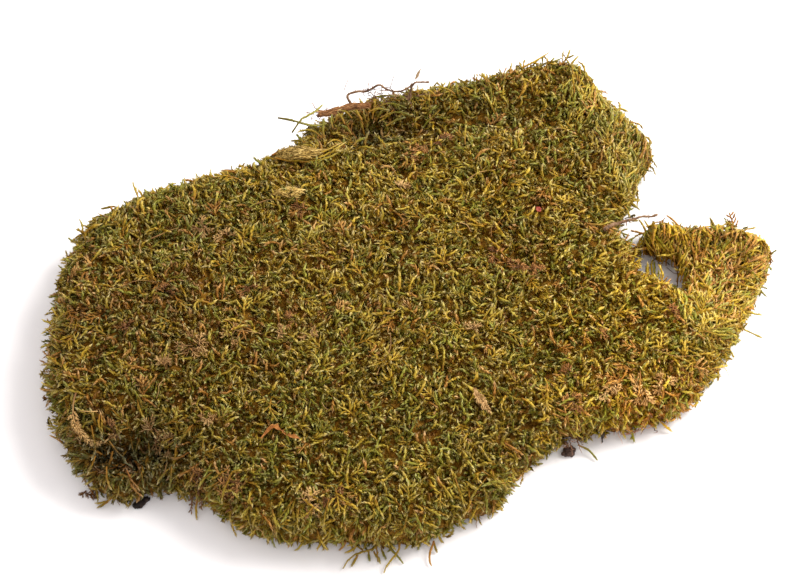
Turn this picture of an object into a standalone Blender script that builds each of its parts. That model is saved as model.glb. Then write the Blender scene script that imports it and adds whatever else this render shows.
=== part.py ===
"""A torn piece of carpet moss, lying flat, with the forest litter caught in it.

The moss is one closed solid about 30 cm long that reaches the tips of its shoots and rests on
its flat underside. Each twig, stem, leaf scrap and crumb caught in it is a solid of its own.
Blender metres, +Z up, the front of the clump faces -Y. Sizes below are in millimetres.
"""
import math

import bmesh
import bpy
import numpy as np
from mathutils import Vector, noise
from mathutils.bvhtree import BVHTree
from mathutils.geometry import delaunay_2d_cdt

MM = 0.001

# Driving dimensions of the moss mat
MID_HEIGHT = 25.0        # height of the shoot tips over the floor, away from the rim
SHOULDER = 0.40          # height of the widest line of the wall, as a part of the local height
WAIST = 0.13             # height of the ring under it
WAIST_INSET = 1.0        # how far that ring stands inside the outline
FOOT_INSET = 2.5         # how far the resting face stands inside the outline
ROUNDING = 0.50          # rim radius, as a part of the local height

# Spacing of the mesh points
OUTLINE_STEP = 4.6
TOP_STEP = 8.0
BASE_STEP = 13.0
RIM_OFFSETS = (2.6, 6.0)

# Clearance between touching pieces
GAP = 0.45

# Outline seen from above, clockwise from the left end, in stretches that meet
LEFT_END = ((-149, -42), (-149, -19), (-147, 5), (-140, 24), (-121, 38))
BACK_LEFT = ((-92, 51), (-69, 58.5), (-53, 69), (-39, 82.5))
BACK_RIM = ((-13, 93.5), (18, 98.5), (38, 107), (60, 112.5), (74, 110))
RIGHT_LOBE = ((83, 97), (94, 85), (102, 72), (97, 60), (91, 44))
NOTCH = ((84, 34), (86.5, 29), (92, 26.5), (97.5, 28))
FLAP = ((101, 34), (114, 31), (131, 31), (146, 23.5), (147, 14), (140, -2), (132, -17))
RIGHT_FRONT = ((125.5, -30), (116.5, -43.5), (105, -54), (88, -59.5), (70, -63), (57, -66))
FRONT_EDGE = ((48, -74), (38, -83), (33, -93), (17, -101), (2, -109), (-20, -110), (-60, -107))
FRONT_LEFT = ((-75, -99), (-86, -91), (-96, -88), (-105, -87.8), (-113, -91.5), (-124, -88),
              (-132, -82), (-138, -72), (-144, -58))
OUTLINE = (LEFT_END + BACK_LEFT + BACK_RIM + RIGHT_LOBE + NOTCH + FLAP + RIGHT_FRONT
           + FRONT_EDGE + FRONT_LEFT)

# Small hole torn between the neck of the flap and the body
HOLE = ((93.5, 14.5), (96.5, 19), (101.5, 20.8), (107, 18.5), (111.5, 11), (112.5, 3), (111, -1.5),
        (105, 2), (98.5, 8))

# Swellings and hollows of the top: centre x, y, half length, half width, turn in degrees, rise
RELIEF = (
    (-100, -12, 62, 60, 0, 6.0),       # thick rounded left end
    (22, 97, 52, 9, 14, 4.5),          # raised back rim
    (14, 76, 46, 8, 6, -7.0),          # valley in front of the rim
    (-20, 75, 13, 8, 10, -4.0),        # deepest end of that valley
    (92, 74, 30, 36, 0, -7.0),         # slope down the right lobe
    (84, -28, 44, 40, 0, -5.5),        # lower right part
    (126, 10, 28, 26, 0, -12.0),       # thin flap
    (97, 22, 13, 10, 0, -10.5),        # neck of the flap and the far rim of the hole
    (16, -92, 50, 26, 0, -4.0),        # front slope
    (-103, -77, 18, 6, -4, -13.0),     # hollow under the front left edge
    (-110, -88, 24, 8, 0, -8.0),       # low ledge in front of the hollow
    (52, -30, 13, 9, 20, -3.5),        # dip right of the middle
    (43, 6, 9, 6, 0, -3.0),            # dip behind it
    (-48, 8, 30, 12, 35, 1.8),         # broad low swelling
    (-10, -48, 34, 14, -20, 1.6),      # broad low swelling at the front
    (-64, -40, 8, 30, 15, -1.8),       # shallow fold
    (20, 30, 30, 7, -30, -1.6),        # shallow fold
)

# Left edge of the flap curls clear of the floor: centre x, y, half widths, rise
CURL = (113, 8, 6, 12, 4.0)


def smooth_span(before, start, end, after, step):
    """Points about every step on the smooth curve from start up to, not including, end."""
    pieces = max(1, round((end - start).length / step))
    samples = []
    for j in range(pieces):
        t = j / pieces
        bend = 2 * before - 5 * start + 4 * end - after
        twist = 3 * start - before - 3 * end + after
        samples.append(start + 0.5 * ((end - before) * t + bend * t ** 2 + twist * t ** 3))
    return samples


def smooth_loop(points, step):
    """Closed curve through the points, sampled about every step."""
    samples = []
    count = len(points)
    for i in range(count):
        four = [Vector(points[(i + k - 1) % count]) for k in range(4)]
        samples += smooth_span(*four, step)
    return samples


def smooth_path(points, step):
    """Open curve through the points, sampled about every step."""
    known = [Vector(p) for p in points]
    known = [2 * known[0] - known[1]] + known + [2 * known[-1] - known[-2]]
    samples = []
    for four in zip(known, known[1:], known[2:], known[3:]):
        samples += smooth_span(*four, step)
    samples.append(known[-2])
    return samples


def centred(loops):
    """Loops moved together so that the box around the first is centred on the origin."""
    xs = [p.x for p in loops[0]]
    ys = [p.y for p in loops[0]]
    middle = Vector((min(xs) + max(xs), min(ys) + max(ys))) / 2
    return [[p - middle for p in loop] for loop in loops]


def offset_loop(loop, distance):
    """Loop moved sideways, towards the moss on the right-hand side of its direction."""
    moved = []
    for i, point in enumerate(loop):
        along = (loop[(i + 1) % len(loop)] - loop[i - 1]).normalized()
        moved.append(point + distance * Vector((along.y, -along.x)))
    return moved


def edge_distances(points, loops):
    """Distance from each point to the nearest stretch of the loops."""
    starts = np.array([p[:] for loop in loops for p in loop])
    ends = np.array([p[:] for loop in loops for p in loop[1:] + loop[:1]])
    spans = ends - starts
    spots = np.array([p[:] for p in points])[:, None, :]
    along = ((spots - starts) * spans).sum(axis=2) / (spans * spans).sum(axis=1)
    nearest = starts + np.clip(along, 0, 1)[:, :, None] * spans
    return np.sqrt(((spots - nearest) ** 2).sum(axis=2)).min(axis=1)


def is_inside(point, loop):
    """True if the point lies inside the loop."""
    inside = False
    for a, b in zip(loop, loop[1:] + loop[:1]):
        if (a.y > point.y) != (b.y > point.y):
            if point.x < a.x + (b.x - a.x) * (point.y - a.y) / (b.y - a.y):
                inside = not inside
    return inside


def inner_points(loops, step, clearance):
    """Hexagonal grid of points on the moss, at least the clearance from its edges."""
    outline, hole = loops
    row_step = step * math.sqrt(3) / 2
    xs = [p.x for p in outline]
    ys = [p.y for p in outline]
    spots = []
    for row in range(int((max(ys) - min(ys)) / row_step) + 1):
        y = min(ys) + row * row_step
        for column in range(int((max(xs) - min(xs)) / step) + 1):
            spot = Vector((min(xs) + (column + 0.5 * (row % 2)) * step, y))
            if is_inside(spot, outline) and not is_inside(spot, hole):
                spots.append(spot)
    distances = edge_distances(spots, loops)
    return [spot for spot, distance in zip(spots, distances) if distance > clearance]


def rim_points(loops):
    """Points in rows just inside the edges, where the rim rounds over."""
    kept = []
    for offset in RIM_OFFSETS:
        every = 1 if offset == RIM_OFFSETS[0] else 2
        spots = [p for loop in loops for p in offset_loop(loop, offset)[::every]]
        distances = edge_distances(spots, loops)
        kept += [p for p, distance in zip(spots, distances) if distance > 0.9 * offset]
    return kept


def full_height(x, y):
    """Height of the shoot tips at a place, before the rim rounds over."""
    height = MID_HEIGHT
    for centre_x, centre_y, half_length, half_width, turn, rise in RELIEF:
        angle = math.radians(turn)
        dx = x - centre_x
        dy = y - centre_y
        along = (dx * math.cos(angle) + dy * math.sin(angle)) / half_length
        across = (dy * math.cos(angle) - dx * math.sin(angle)) / half_width
        height += rise * math.exp(-along * along - across * across)
    height += 1.6 * noise.noise(Vector((x, y, 0)) / 26)
    height += 1.1 * noise.noise(Vector((x, y, 70)) / 11)
    return height


def curl_height(x, y):
    """How far the underside is lifted clear of the floor."""
    centre_x, centre_y, half_x, half_y, rise = CURL
    return rise * math.exp(-((x - centre_x) / half_x) ** 2 - ((y - centre_y) / half_y) ** 2)


def top_height(x, y, distance):
    """Height of the top, rounded over within the rim radius of an edge."""
    height = full_height(x, y)
    inward = min(1.0, distance / (ROUNDING * height))
    profile = SHOULDER + (1 - SHOULDER) * math.sqrt(1 - (1 - inward) ** 2)
    return height * profile + curl_height(x, y)


def fill_between(loops, extra):
    """Triangles that fill the outline and leave the hole open."""
    outline, hole = loops
    spots = outline + hole + extra
    edges = [(i, (i + 1) % len(outline)) for i in range(len(outline))]
    edges += [(len(outline) + i, len(outline) + (i + 1) % len(hole)) for i in range(len(hole))]
    triangles_inside = 1
    made = delaunay_2d_cdt(spots, edges, [], triangles_inside, 1e-6)
    source = [found[0] for found in made[3]]
    faces = []
    for face in made[2]:
        corners = [source[i] for i in face]
        if not is_inside(sum((spots[i] for i in corners), Vector((0, 0))) / 3, hole):
            faces.append(corners)
    return spots, faces


def principled(name, color, roughness):
    """Plain non-metal material."""
    material = bpy.data.materials.new(name)
    material.use_nodes = True
    shader = material.node_tree.nodes["Principled BSDF"]
    shader.inputs["Base Color"].default_value = (*color, 1)
    shader.inputs["Roughness"].default_value = roughness
    shader.inputs["Metallic"].default_value = 0
    return material


def add_mesh(name, shape, material):
    """Scene object made from a bmesh in millimetres, shaded smooth."""
    bmesh.ops.scale(shape, vec=(MM, MM, MM), verts=shape.verts)
    bmesh.ops.recalc_face_normals(shape, faces=shape.faces)
    mesh = bpy.data.meshes.new(name)
    shape.to_mesh(mesh)
    shape.free()
    mesh.materials.append(material)
    mesh.shade_smooth()
    thing = bpy.data.objects.new(name, mesh)
    bpy.context.collection.objects.link(thing)
    return thing


def skin_rings(shape, rings):
    """Close a tube over rings of points, with a flat face at each end."""
    for ring, following in zip(rings, rings[1:]):
        for i in range(len(ring)):
            j = (i + 1) % len(ring)
            shape.faces.new((ring[i], ring[j], following[j], following[i]))
    shape.faces.new(rings[0])
    shape.faces.new(rings[-1][::-1])
    bmesh.ops.triangulate(shape, faces=shape.faces)


def make_moss_mat(material):
    """The sheet of moss: domed top, bulging wall, flat resting face and one small hole."""
    loops = centred([smooth_loop(OUTLINE, OUTLINE_STEP), smooth_loop(HOLE[::-1], OUTLINE_STEP)])
    shape = bmesh.new()

    top_inside = rim_points(loops) + inner_points(loops, TOP_STEP, RIM_OFFSETS[-1] + 3)
    spots, faces = fill_between(loops, top_inside)
    distances = edge_distances(spots, loops)
    top = [shape.verts.new((p.x, p.y, top_height(p.x, p.y, distance)))
           for p, distance in zip(spots, distances)]
    for face in faces:
        shape.faces.new([top[i] for i in face])

    feet = [offset_loop(loop, FOOT_INSET) for loop in loops]
    base_inside = inner_points(loops, BASE_STEP, FOOT_INSET + BASE_STEP / 2)
    spots, faces = fill_between(feet, base_inside)
    base = [shape.verts.new((p.x, p.y, curl_height(p.x, p.y))) for p in spots]
    for face in faces:
        shape.faces.new([base[i] for i in reversed(face)])

    start = 0
    for loop in loops:
        count = len(loop)
        waist = []
        for p in offset_loop(loop, WAIST_INSET):
            height = WAIST * full_height(p.x, p.y) + curl_height(p.x, p.y)
            waist.append(shape.verts.new((p.x, p.y, height)))
        for i in range(count):
            j = (i + 1) % count
            shape.faces.new((top[start + i], top[start + j], waist[j], waist[i]))
            shape.faces.new((waist[i], waist[j], base[start + j], base[start + i]))
        start += count
    return add_mesh("moss_mat", shape, material)


class Surface:
    """Height of the finished mat and of the floor around it."""

    def __init__(self, mat):
        """Keep a search tree of the mat's faces."""
        self.tree = BVHTree.FromObject(mat, bpy.context.evaluated_depsgraph_get())

    def height(self, x, y, reach=0.8):
        """Highest point of the mat, or of the floor, within reach of a place."""
        highest = 0.0
        for dx, dy in ((0, 0), (reach, 0), (-reach, 0), (0, reach), (0, -reach)):
            start = Vector((x + dx, y + dy, 100)) * MM
            hit = self.tree.ray_cast(start, Vector((0, 0, -1)))[0]
            if hit is not None:
                highest = max(highest, hit.z / MM)
        return highest


def make_stem(name, points, radius, surface, material, taper=0.5, step=2.0):
    """Thin round stem through the points, kept clear of the moss under it."""
    path = smooth_path(points, step)
    curve = bpy.data.curves.new(name, "CURVE")
    curve.dimensions = "3D"
    curve.bevel_depth = radius * MM
    curve.bevel_resolution = 1
    curve.use_fill_caps = True
    spline = curve.splines.new("POLY")
    spline.points.add(len(path) - 1)
    for i, (spot, place) in enumerate(zip(path, spline.points)):
        lowest = surface.height(spot.x, spot.y) + GAP + radius
        place.co = (spot.x * MM, spot.y * MM, max(spot.z, lowest) * MM, 1)
        place.radius = 1 - (1 - taper) * i / (len(path) - 1)
    spline.use_smooth = True
    curve.materials.append(material)
    stem = bpy.data.objects.new(name, curve)
    bpy.context.collection.objects.link(stem)
    return stem


def make_ribbon(name, points, widest, thickness, surface, material, lift=0.0):
    """Flat scrap, pointed at both ends, that follows the moss under it."""
    path = smooth_path([(x, y, 0) for x, y in points], 2.4)
    shape = bmesh.new()
    rings = []
    for i, spot in enumerate(path):
        along = i / (len(path) - 1)
        half = 0.5 * widest * (0.22 + 0.78 * math.sin(math.pi * (0.06 + 0.88 * along)))
        ahead = path[min(i + 1, len(path) - 1)] - path[max(i - 1, 0)]
        side = Vector((-ahead.y, ahead.x, 0)).normalized()
        under = []
        over = []
        for across in (-1, -0.5, 0, 0.5, 1):
            place = spot + side * half * across
            floor = surface.height(place.x, place.y, 1.3) + GAP + lift * along ** 2
            under.append(shape.verts.new((place.x, place.y, floor)))
            crown = thickness * (1 - 0.55 * across * across)
            over.append(shape.verts.new((place.x, place.y, floor + crown)))
        rings.append(under + over[::-1])
    skin_rings(shape, rings)
    return add_mesh(name, shape, material)


def make_lump(name, centre, size, turn, seed, material):
    """Rough broken lump that lies on the floor."""
    shape = bmesh.new()
    bmesh.ops.create_icosphere(shape, subdivisions=2, radius=0.5)
    for vert in shape.verts:
        vert.co *= 1 + 0.38 * noise.noise(vert.co * 3.1 + Vector((seed, 0, 0)))
        vert.co.z = max(vert.co.z, -0.36)
    bmesh.ops.scale(shape, vec=size, verts=shape.verts)
    lowest = min(vert.co.z for vert in shape.verts)
    angle = math.radians(turn)
    for vert in shape.verts:
        x, y, z = vert.co
        vert.co = (centre[0] + x * math.cos(angle) - y * math.sin(angle),
                   centre[1] + x * math.sin(angle) + y * math.cos(angle), z - lowest)
    return add_mesh(name, shape, material)


def make_twig(surface, material):
    """Short rotten twig, thick in the middle, with a ragged end over the rim."""
    points = ((-41, 76, 28), (-34, 77, 29), (-27, 78.5, 30), (-19, 79.5, 30))
    path = smooth_path(points, 2.0)
    shape = bmesh.new()
    sides = 8
    rings = []
    for i, spot in enumerate(path):
        along = i / (len(path) - 1)
        radius = 0.55 + 0.75 * math.sin(math.pi * (0.12 + 0.72 * along))
        lowest = surface.height(spot.x, spot.y, 1.3) + GAP + 1.25 * radius
        spot = Vector((spot.x, spot.y, max(spot.z, lowest)))
        ring = []
        for k in range(sides):
            angle = 2 * math.pi * k / sides
            outward = Vector((0, math.cos(angle), math.sin(angle)))
            bump = 1 + 0.22 * noise.noise((spot + outward * 2) / 1.7)
            ring.append(shape.verts.new(spot + outward * radius * bump))
        rings.append(ring)
    skin_rings(shape, rings)
    return add_mesh("rotten_twig", shape, material)


def make_leaf_tip(material):
    """Small pointed dry leaf that stands up at the end of the wiry stem."""
    foot = Vector((0.6, 89.9, 34.0))
    tip = Vector((3.0, 92.0, 39.0))
    shape = bmesh.new()
    side = Vector((0.9, -0.3, -0.3))
    face_out = (tip - foot).cross(side).normalized()
    rings = []
    for along, half in ((0, 0.25), (0.2, 0.7), (0.45, 1.0), (0.7, 0.7), (0.9, 0.25), (1, 0.1)):
        middle = foot.lerp(tip, along) + face_out * 0.5 * math.sin(math.pi * along)
        thin = 0.12 + 0.13 * half
        corners = (-side * half, -face_out * thin, side * half, face_out * thin)
        rings.append([shape.verts.new(middle + corner) for corner in corners])
    skin_rings(shape, rings)
    return add_mesh("dry_leaf_tip", shape, material)


def make_litter(surface):
    """Every twig, stem, scrap and crumb that is caught in the moss."""
    rotten = principled("rotten_wood", (0.17, 0.065, 0.03), 0.9)
    dark = principled("dark_stem_bark", (0.07, 0.035, 0.025), 0.75)
    green = principled("stray_shoot_green", (0.2, 0.18, 0.03), 0.7)
    straw = principled("green_straw", (0.28, 0.24, 0.06), 0.6)
    pale = principled("dead_straw", (0.42, 0.29, 0.12), 0.8)
    leaf = principled("dry_leaf", (0.42, 0.24, 0.1), 0.7)
    orange = principled("orange_leaf", (0.38, 0.13, 0.03), 0.7)
    black = principled("black_bark", (0.012, 0.009, 0.008), 0.8)
    soil = principled("dark_soil", (0.045, 0.028, 0.018), 0.95)

    make_twig(surface, rotten)
    make_leaf_tip(leaf)
    make_stem("wiry_stem",
              ((-27, 81.5, 28), (-28.5, 84, 31), (-24, 85, 32.5), (-20, 85.5, 32), (-15, 87, 34.5),
               (-12, 86.5, 32), (-7, 86, 31), (-3, 87, 32), (0.5, 89, 33.4)),
              0.55, surface, dark, taper=0.6, step=1.6)
    make_stem("forked_stem",
              ((-2, 84.5, 27), (-1.3, 86.5, 32), (0.5, 88.5, 34), (6.5, 89.5, 33)),
              0.5, surface, dark, taper=0.7, step=1.6)
    make_stem("stray_shoot_long",
              ((-38, 74, 24), (-43.6, 72.2, 25), (-48.8, 74.4, 24.5), (-53.2, 76.4, 24),
               (-58.5, 78.3, 22.5)),
              0.6, surface, green)
    make_stem("stray_shoot_short",
              ((-39, 79, 30), (-42, 76.5, 30), (-45.3, 74.8, 29), (-48.7, 73.4, 28),
               (-50.5, 71, 26), (-52.3, 69.3, 24)),
              0.8, surface, green)
    make_stem("loose_dark_stem",
              ((79, 22, 19), (84, 27, 17), (88, 30, 15.5), (92.2, 31.3, 15), (96.2, 33, 14.6),
               (100.3, 33.2, 14.2), (102.8, 34.3, 14.2)),
              0.85, surface, dark, taper=0.45)
    make_stem("straw_stem",
              ((134.5, -16.5, 7), (139, -16.5, 3.2), (144, -18, 1.3)), 0.45, surface, straw)
    make_ribbon("dead_grass_wisp", ((-60, 57), (-54, 57), (-47, 56.5), (-40, 57)),
                5.4, 1.4, surface, pale)
    make_ribbon("dead_moss_wisp", ((-59, 35.5), (-53, 35.5), (-47, 37.5)), 3.6, 1.0, surface, pale)
    make_ribbon("pale_dead_sprig", ((-133, -56), (-131.5, -61), (-128.5, -67), (-125, -70.5)),
                3.0, 1.0, surface, pale)
    make_ribbon("leaf_scrap", ((22, -50), (26, -55), (29, -62)), 3.4, 0.7, surface, leaf, 1.5)
    make_ribbon("orange_leaf_shred", ((-59, -71), (-53, -73.5), (-45, -73)),
                3.2, 0.7, surface, orange, 1.0)
    make_lump("bark_chip", (-108, -91.6), (7.6, 3.2, 2.2), 36, 1.0, black)
    make_lump("soil_crumb", (61.5, -69.6), (5.2, 4.4, 3.6), 10, 5.0, soil)
    make_stem("bark_splinter", ((74.6, -64.8, 8), (74.8, -65.1, 4.5), (75, -65.7, 1.2)),
              0.85, surface, black, taper=0.2)


def main():
    """Build the whole clump in an empty scene."""
    for thing in list(bpy.data.objects):
        bpy.data.objects.remove(thing)
    mat = make_moss_mat(principled("moss", (0.16, 0.11, 0.02), 0.9))
    bpy.context.view_layer.update()
    make_litter(Surface(mat))


main()
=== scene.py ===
"""Looks of a torn piece of carpet moss with forest litter caught in it.

Every shoot of the moss is modelled: a tapered, curved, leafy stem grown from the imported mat's
surface. Shoots are joined into pieces by kind. The litter gets detailed pieces of its own.
Metres, +Z up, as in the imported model. Sizes in the functions below are in millimetres.
"""
import heapq
import math

import bmesh
import bpy
import numpy as np
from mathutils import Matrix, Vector, noise
from mathutils.bvhtree import BVHTree


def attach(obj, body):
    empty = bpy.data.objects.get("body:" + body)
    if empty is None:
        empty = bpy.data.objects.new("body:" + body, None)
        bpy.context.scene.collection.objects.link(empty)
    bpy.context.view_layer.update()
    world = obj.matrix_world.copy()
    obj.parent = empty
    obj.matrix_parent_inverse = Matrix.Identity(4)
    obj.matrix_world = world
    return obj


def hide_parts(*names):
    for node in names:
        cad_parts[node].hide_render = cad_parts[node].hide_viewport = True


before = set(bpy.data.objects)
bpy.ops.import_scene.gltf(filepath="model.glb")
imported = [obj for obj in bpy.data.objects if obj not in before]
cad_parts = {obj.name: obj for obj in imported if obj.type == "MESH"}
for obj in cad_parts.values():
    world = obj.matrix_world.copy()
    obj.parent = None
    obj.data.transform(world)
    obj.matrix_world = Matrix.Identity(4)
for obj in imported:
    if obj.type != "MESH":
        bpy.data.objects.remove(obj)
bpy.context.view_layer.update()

MM = 0.001
UP = np.array([0.0, 0.0, 1.0])
# Height above the floor that nothing goes below, in millimetres
LOWEST = 0.05

# Camera of the reference view
CAMERA_TARGET = (-6.0, -0.6, 12.0)
CAMERA_ELEVATION = 60.0
CAMERA_DISTANCE = 736.0
CAMERA_LENS = 80.0

# ---------------------------------------------------------------- meshes and arrays


def vertex_rows(mesh, key):
    """Points or normals of a mesh, one row for each vertex."""
    rows = np.empty(len(mesh.vertices) * 3)
    mesh.vertices.foreach_get(key, rows)
    return rows.reshape(-1, 3)


def node_arrays(name):
    """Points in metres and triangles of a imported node."""
    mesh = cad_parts[name].data
    mesh.calc_loop_triangles()
    corners = np.empty(len(mesh.loop_triangles) * 3, np.int32)
    mesh.loop_triangles.foreach_get("vertices", corners)
    return vertex_rows(mesh, "co"), corners.reshape(-1, 3)


def set_attribute(mesh, key, values):
    """Give every vertex a value that the materials read."""
    attribute = mesh.attributes.new(key, "FLOAT", "POINT")
    attribute.data.foreach_set("value", values.astype(np.float32))


class Mat:
    """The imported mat's surface in millimetres, with smooth normals, for growing things on."""

    def __init__(self, name):
        """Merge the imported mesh's points and smooth its normals."""
        points, corners = node_arrays(name)
        points = points / MM
        keys = np.round(points * 1000).astype(np.int64)
        _, first, merged = np.unique(keys, axis=0, return_index=True, return_inverse=True)
        self.points = points[first]
        faces = merged.reshape(-1)[corners]
        a, b, c = (self.points[faces[:, k]] for k in range(3))
        cross = np.cross(b - a, c - a)
        self.areas = np.linalg.norm(cross, axis=1) / 2
        solid = self.areas > 1e-6
        self.faces = faces[solid]
        self.areas = self.areas[solid]
        self.face_normals = cross[solid] / (2 * self.areas[:, None])
        normals = np.zeros_like(self.points)
        for k in range(3):
            np.add.at(normals, self.faces[:, k], cross[solid])
        self.normals = unit(normals)
        self.tree = BVHTree.FromPolygons([Vector(p) for p in self.points],
                                         [tuple(f) for f in self.faces])

    def scatter(self, count, cell, rng, keep):
        """Evenly strewn places on the faces that keep chooses, and their normals.

        Only one of the places that fall into a cell of the space is kept.
        """
        tries = 4 * count
        chosen = np.flatnonzero(keep(self.face_normals, self.points[self.faces].mean(axis=1)))
        share = self.areas[chosen] / self.areas[chosen].sum()
        picks = rng.choice(chosen, size=tries, p=share)
        u, v = rng.rand(2, len(picks))
        fold = u + v > 1
        u[fold], v[fold] = 1 - u[fold], 1 - v[fold]
        weights = np.stack([1 - u - v, u, v], axis=1)
        spots = (self.points[self.faces[picks]] * weights[:, :, None]).sum(axis=1)
        normals = unit((self.normals[self.faces[picks]] * weights[:, :, None]).sum(axis=1))
        cells = np.floor(spots / cell).astype(np.int64)
        _, first = np.unique(cells, axis=0, return_index=True)
        first = rng.permutation(first)[:count]
        return spots[first], normals[first]

    def drop(self, x, y):
        """Height of the mat's top at a place, or 0 beside it."""
        hit = self.tree.ray_cast(Vector((x, y, 100)), Vector((0, 0, -1)))[0]
        return hit.z if hit is not None else 0.0


def unit(vectors):
    """Vectors scaled to length one."""
    return vectors / np.maximum(np.linalg.norm(vectors, axis=-1, keepdims=True), 1e-9)


def waves(points, wavelength, seed, count=9):
    """Smooth random field over the points, about -1.5 to 1.5, made of crossing waves."""
    rng = np.random.RandomState(seed)
    directions = unit(rng.normal(size=(count, 3)))
    numbers = 2 * math.pi / (wavelength * rng.uniform(0.7, 1.5, count))
    phases = rng.uniform(0, 2 * math.pi, count)
    total = np.sin((points @ directions.T) * numbers + phases).sum(axis=1)
    return total / math.sqrt(count / 2) * 0.8


def distances(points):
    """How far along a line each of its points lies."""
    return np.append(0, np.cumsum(np.linalg.norm(np.diff(points, axis=0), axis=1)))


def read_along(values, steps, places):
    """Rows of values at places between the steps."""
    return np.stack([np.interp(places, steps, column) for column in values.T], axis=-1)


def through(points, rings):
    """Path of evenly spaced rings through a few points."""
    points = np.array(points, float)
    steps = distances(points)
    path = read_along(points, steps, np.linspace(0, steps[-1], rings))
    path[1:-1] = path[1:-1] * 0.5 + (path[:-2] + path[2:]) * 0.25
    return path


def part_way(paths, tangents, place):
    """Points and directions of paths at parts of their rings."""
    step = place * (paths.shape[1] - 1)
    low = np.minimum(step.astype(int), paths.shape[1] - 2)
    part = (step - low)[:, None]
    rows = np.arange(len(paths))
    spot = paths[rows, low] * (1 - part) + paths[rows, low + 1] * part
    along = unit(tangents[rows, low] * (1 - part) + tangents[rows, low + 1] * part)
    return spot, along


def level_directions(count, rng):
    """Directions all round, level."""
    turn = rng.uniform(0, 2 * math.pi, count)
    return np.stack([np.cos(turn), np.sin(turn), np.zeros(count)], axis=1)


MOSS = Mat("moss_mat")

# ---------------------------------------------------------------- shoots

# How far leaves stand off their stem at its foot, middle and tip, in radians
OPEN_LEAVES = (0.55, 0.42, 0.2)
CLOSED_LEAVES = (0.45, 0.35, 0.15)
# Part of a shoot at its foot that has no leaves, and the turn from each leaf to the next
BARE_FOOT = 0.22
LEAF_TURN = 2.4
# How thick a frond is along its five rings
FROND_TAPER = np.array([0.8, 1, 1, 0.85, 0.6])
# Slanted direction from which headings over the surface are counted
SIDEWAYS = np.array([0.13, 0.97, 0.05])
# Rings of a shoot's path that its stem uses, by the number of rings
STEM_RINGS = {3: [0, 2], 4: [0, 2, 3], 5: [0, 2, 3, 4], 6: [0, 2, 4, 5], 7: [0, 2, 3, 4, 5, 6]}


def grow(tips, normals, length, rings, lean, heading, curl):
    """Centre lines of shoots, root first, that end at the tips.

    lean holds the angle from the normal at the root and at the tip, heading the direction over
    the surface, curl how much the heading turns on the way.
    """
    count = len(tips)
    across = unit(np.cross(normals, SIDEWAYS))
    ahead = np.cross(across, normals)
    steps = np.linspace(0, 1, rings - 1)
    path = [np.zeros((count, 3))]
    for step in steps:
        tilt = lean[0] + (lean[1] - lean[0]) * step
        turn = heading + curl * step
        flat = across * np.cos(turn)[:, None] + ahead * np.sin(turn)[:, None]
        direction = normals * np.cos(tilt)[:, None] + flat * np.sin(tilt)[:, None]
        path.append(path[-1] + direction * (length / (rings - 1))[:, None])
    path = np.stack(path, axis=1)
    return path - path[:, -1:, :] + tips[:, None, :]


def tube_skin(paths, radii, sides, rough, rng):
    """Points and normals of tubes around the paths, ring by ring, then a tip for each."""
    count, rings, _ = paths.shape
    tangents = unit(np.gradient(paths, axis=1))
    side = unit(np.cross(tangents[:, 0], unit(rng.normal(size=(count, 3)))))
    angles = np.arange(sides) * 2 * math.pi / sides
    skins, outs = [], []
    for k in range(rings):
        along = tangents[:, k]
        side = unit(side - (side * along).sum(axis=1, keepdims=True) * along)
        up = np.cross(along, side)
        spin = angles + (k % 2) * math.pi / sides
        spread = radii[:, k, None] * (1 + rough * rng.uniform(-1, 1, (count, sides)))
        slide = 0.6 * rough * radii[:, k, None] * rng.uniform(-1, 1, (count, sides))
        out = (np.cos(spin)[:, None] * side[:, None, :] + np.sin(spin)[:, None] * up[:, None, :])
        skins.append(paths[:, k, None, :] + spread[:, :, None] * out
                     + slide[:, :, None] * along[:, None, :])
        outs.append(out)
    skin = np.stack(skins, axis=1).reshape(count, rings * sides, 3)
    out = np.stack(outs, axis=1).reshape(count, rings * sides, 3)
    ahead = tangents[:, -1]
    point_length = 2.2
    tip = paths[:, -1] + ahead * radii[:, -1, None] * point_length
    return (np.concatenate([skin, tip[:, None]], axis=1),
            np.concatenate([out, ahead[:, None]], axis=1))


def tube_faces(rings, sides):
    """Triangles of one tube, and where each corner lies on its strip of the UV map."""
    faces = []
    strip = []
    tip = rings * sides

    def place(k, i):
        """Strip place of a ring's point, counted past the seam."""
        return (i + 0.5 * (k % 2)) / (sides + 0.5), (k + 0.6) / (rings + 0.6)

    def add(corners, places):
        faces.append([k * sides + i % sides if k < rings else tip for k, i in corners])
        strip.append(places)

    for i in range(sides):
        for k in range(rings - 1):
            here, beside, over, across = (k, i), (k, i + 1), (k + 1, i), (k + 1, i + 1)
            if k % 2 == 0:
                trios = ((here, beside, over), (beside, across, over))
            else:
                trios = ((here, across, over), (here, beside, across))
            for trio in trios:
                add(trio, [place(*corner) for corner in trio])
        a, b = (rings - 1, i), (rings - 1, i + 1)
        add((a, b, (rings, 0)), [place(*a), place(*b), ((i + 0.5) / (sides + 0.5), 1.0)])
    for i in range(1, sides - 1):
        low = [(0.1, 0.0), (0.1 + 0.8 * i / sides, 0.0), (0.1 + 0.8 * (i + 1) / sides, 0.02)]
        add(((0, 0), (0, i + 1), (0, i)), low)
    return np.array(faces), np.array(strip)


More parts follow.
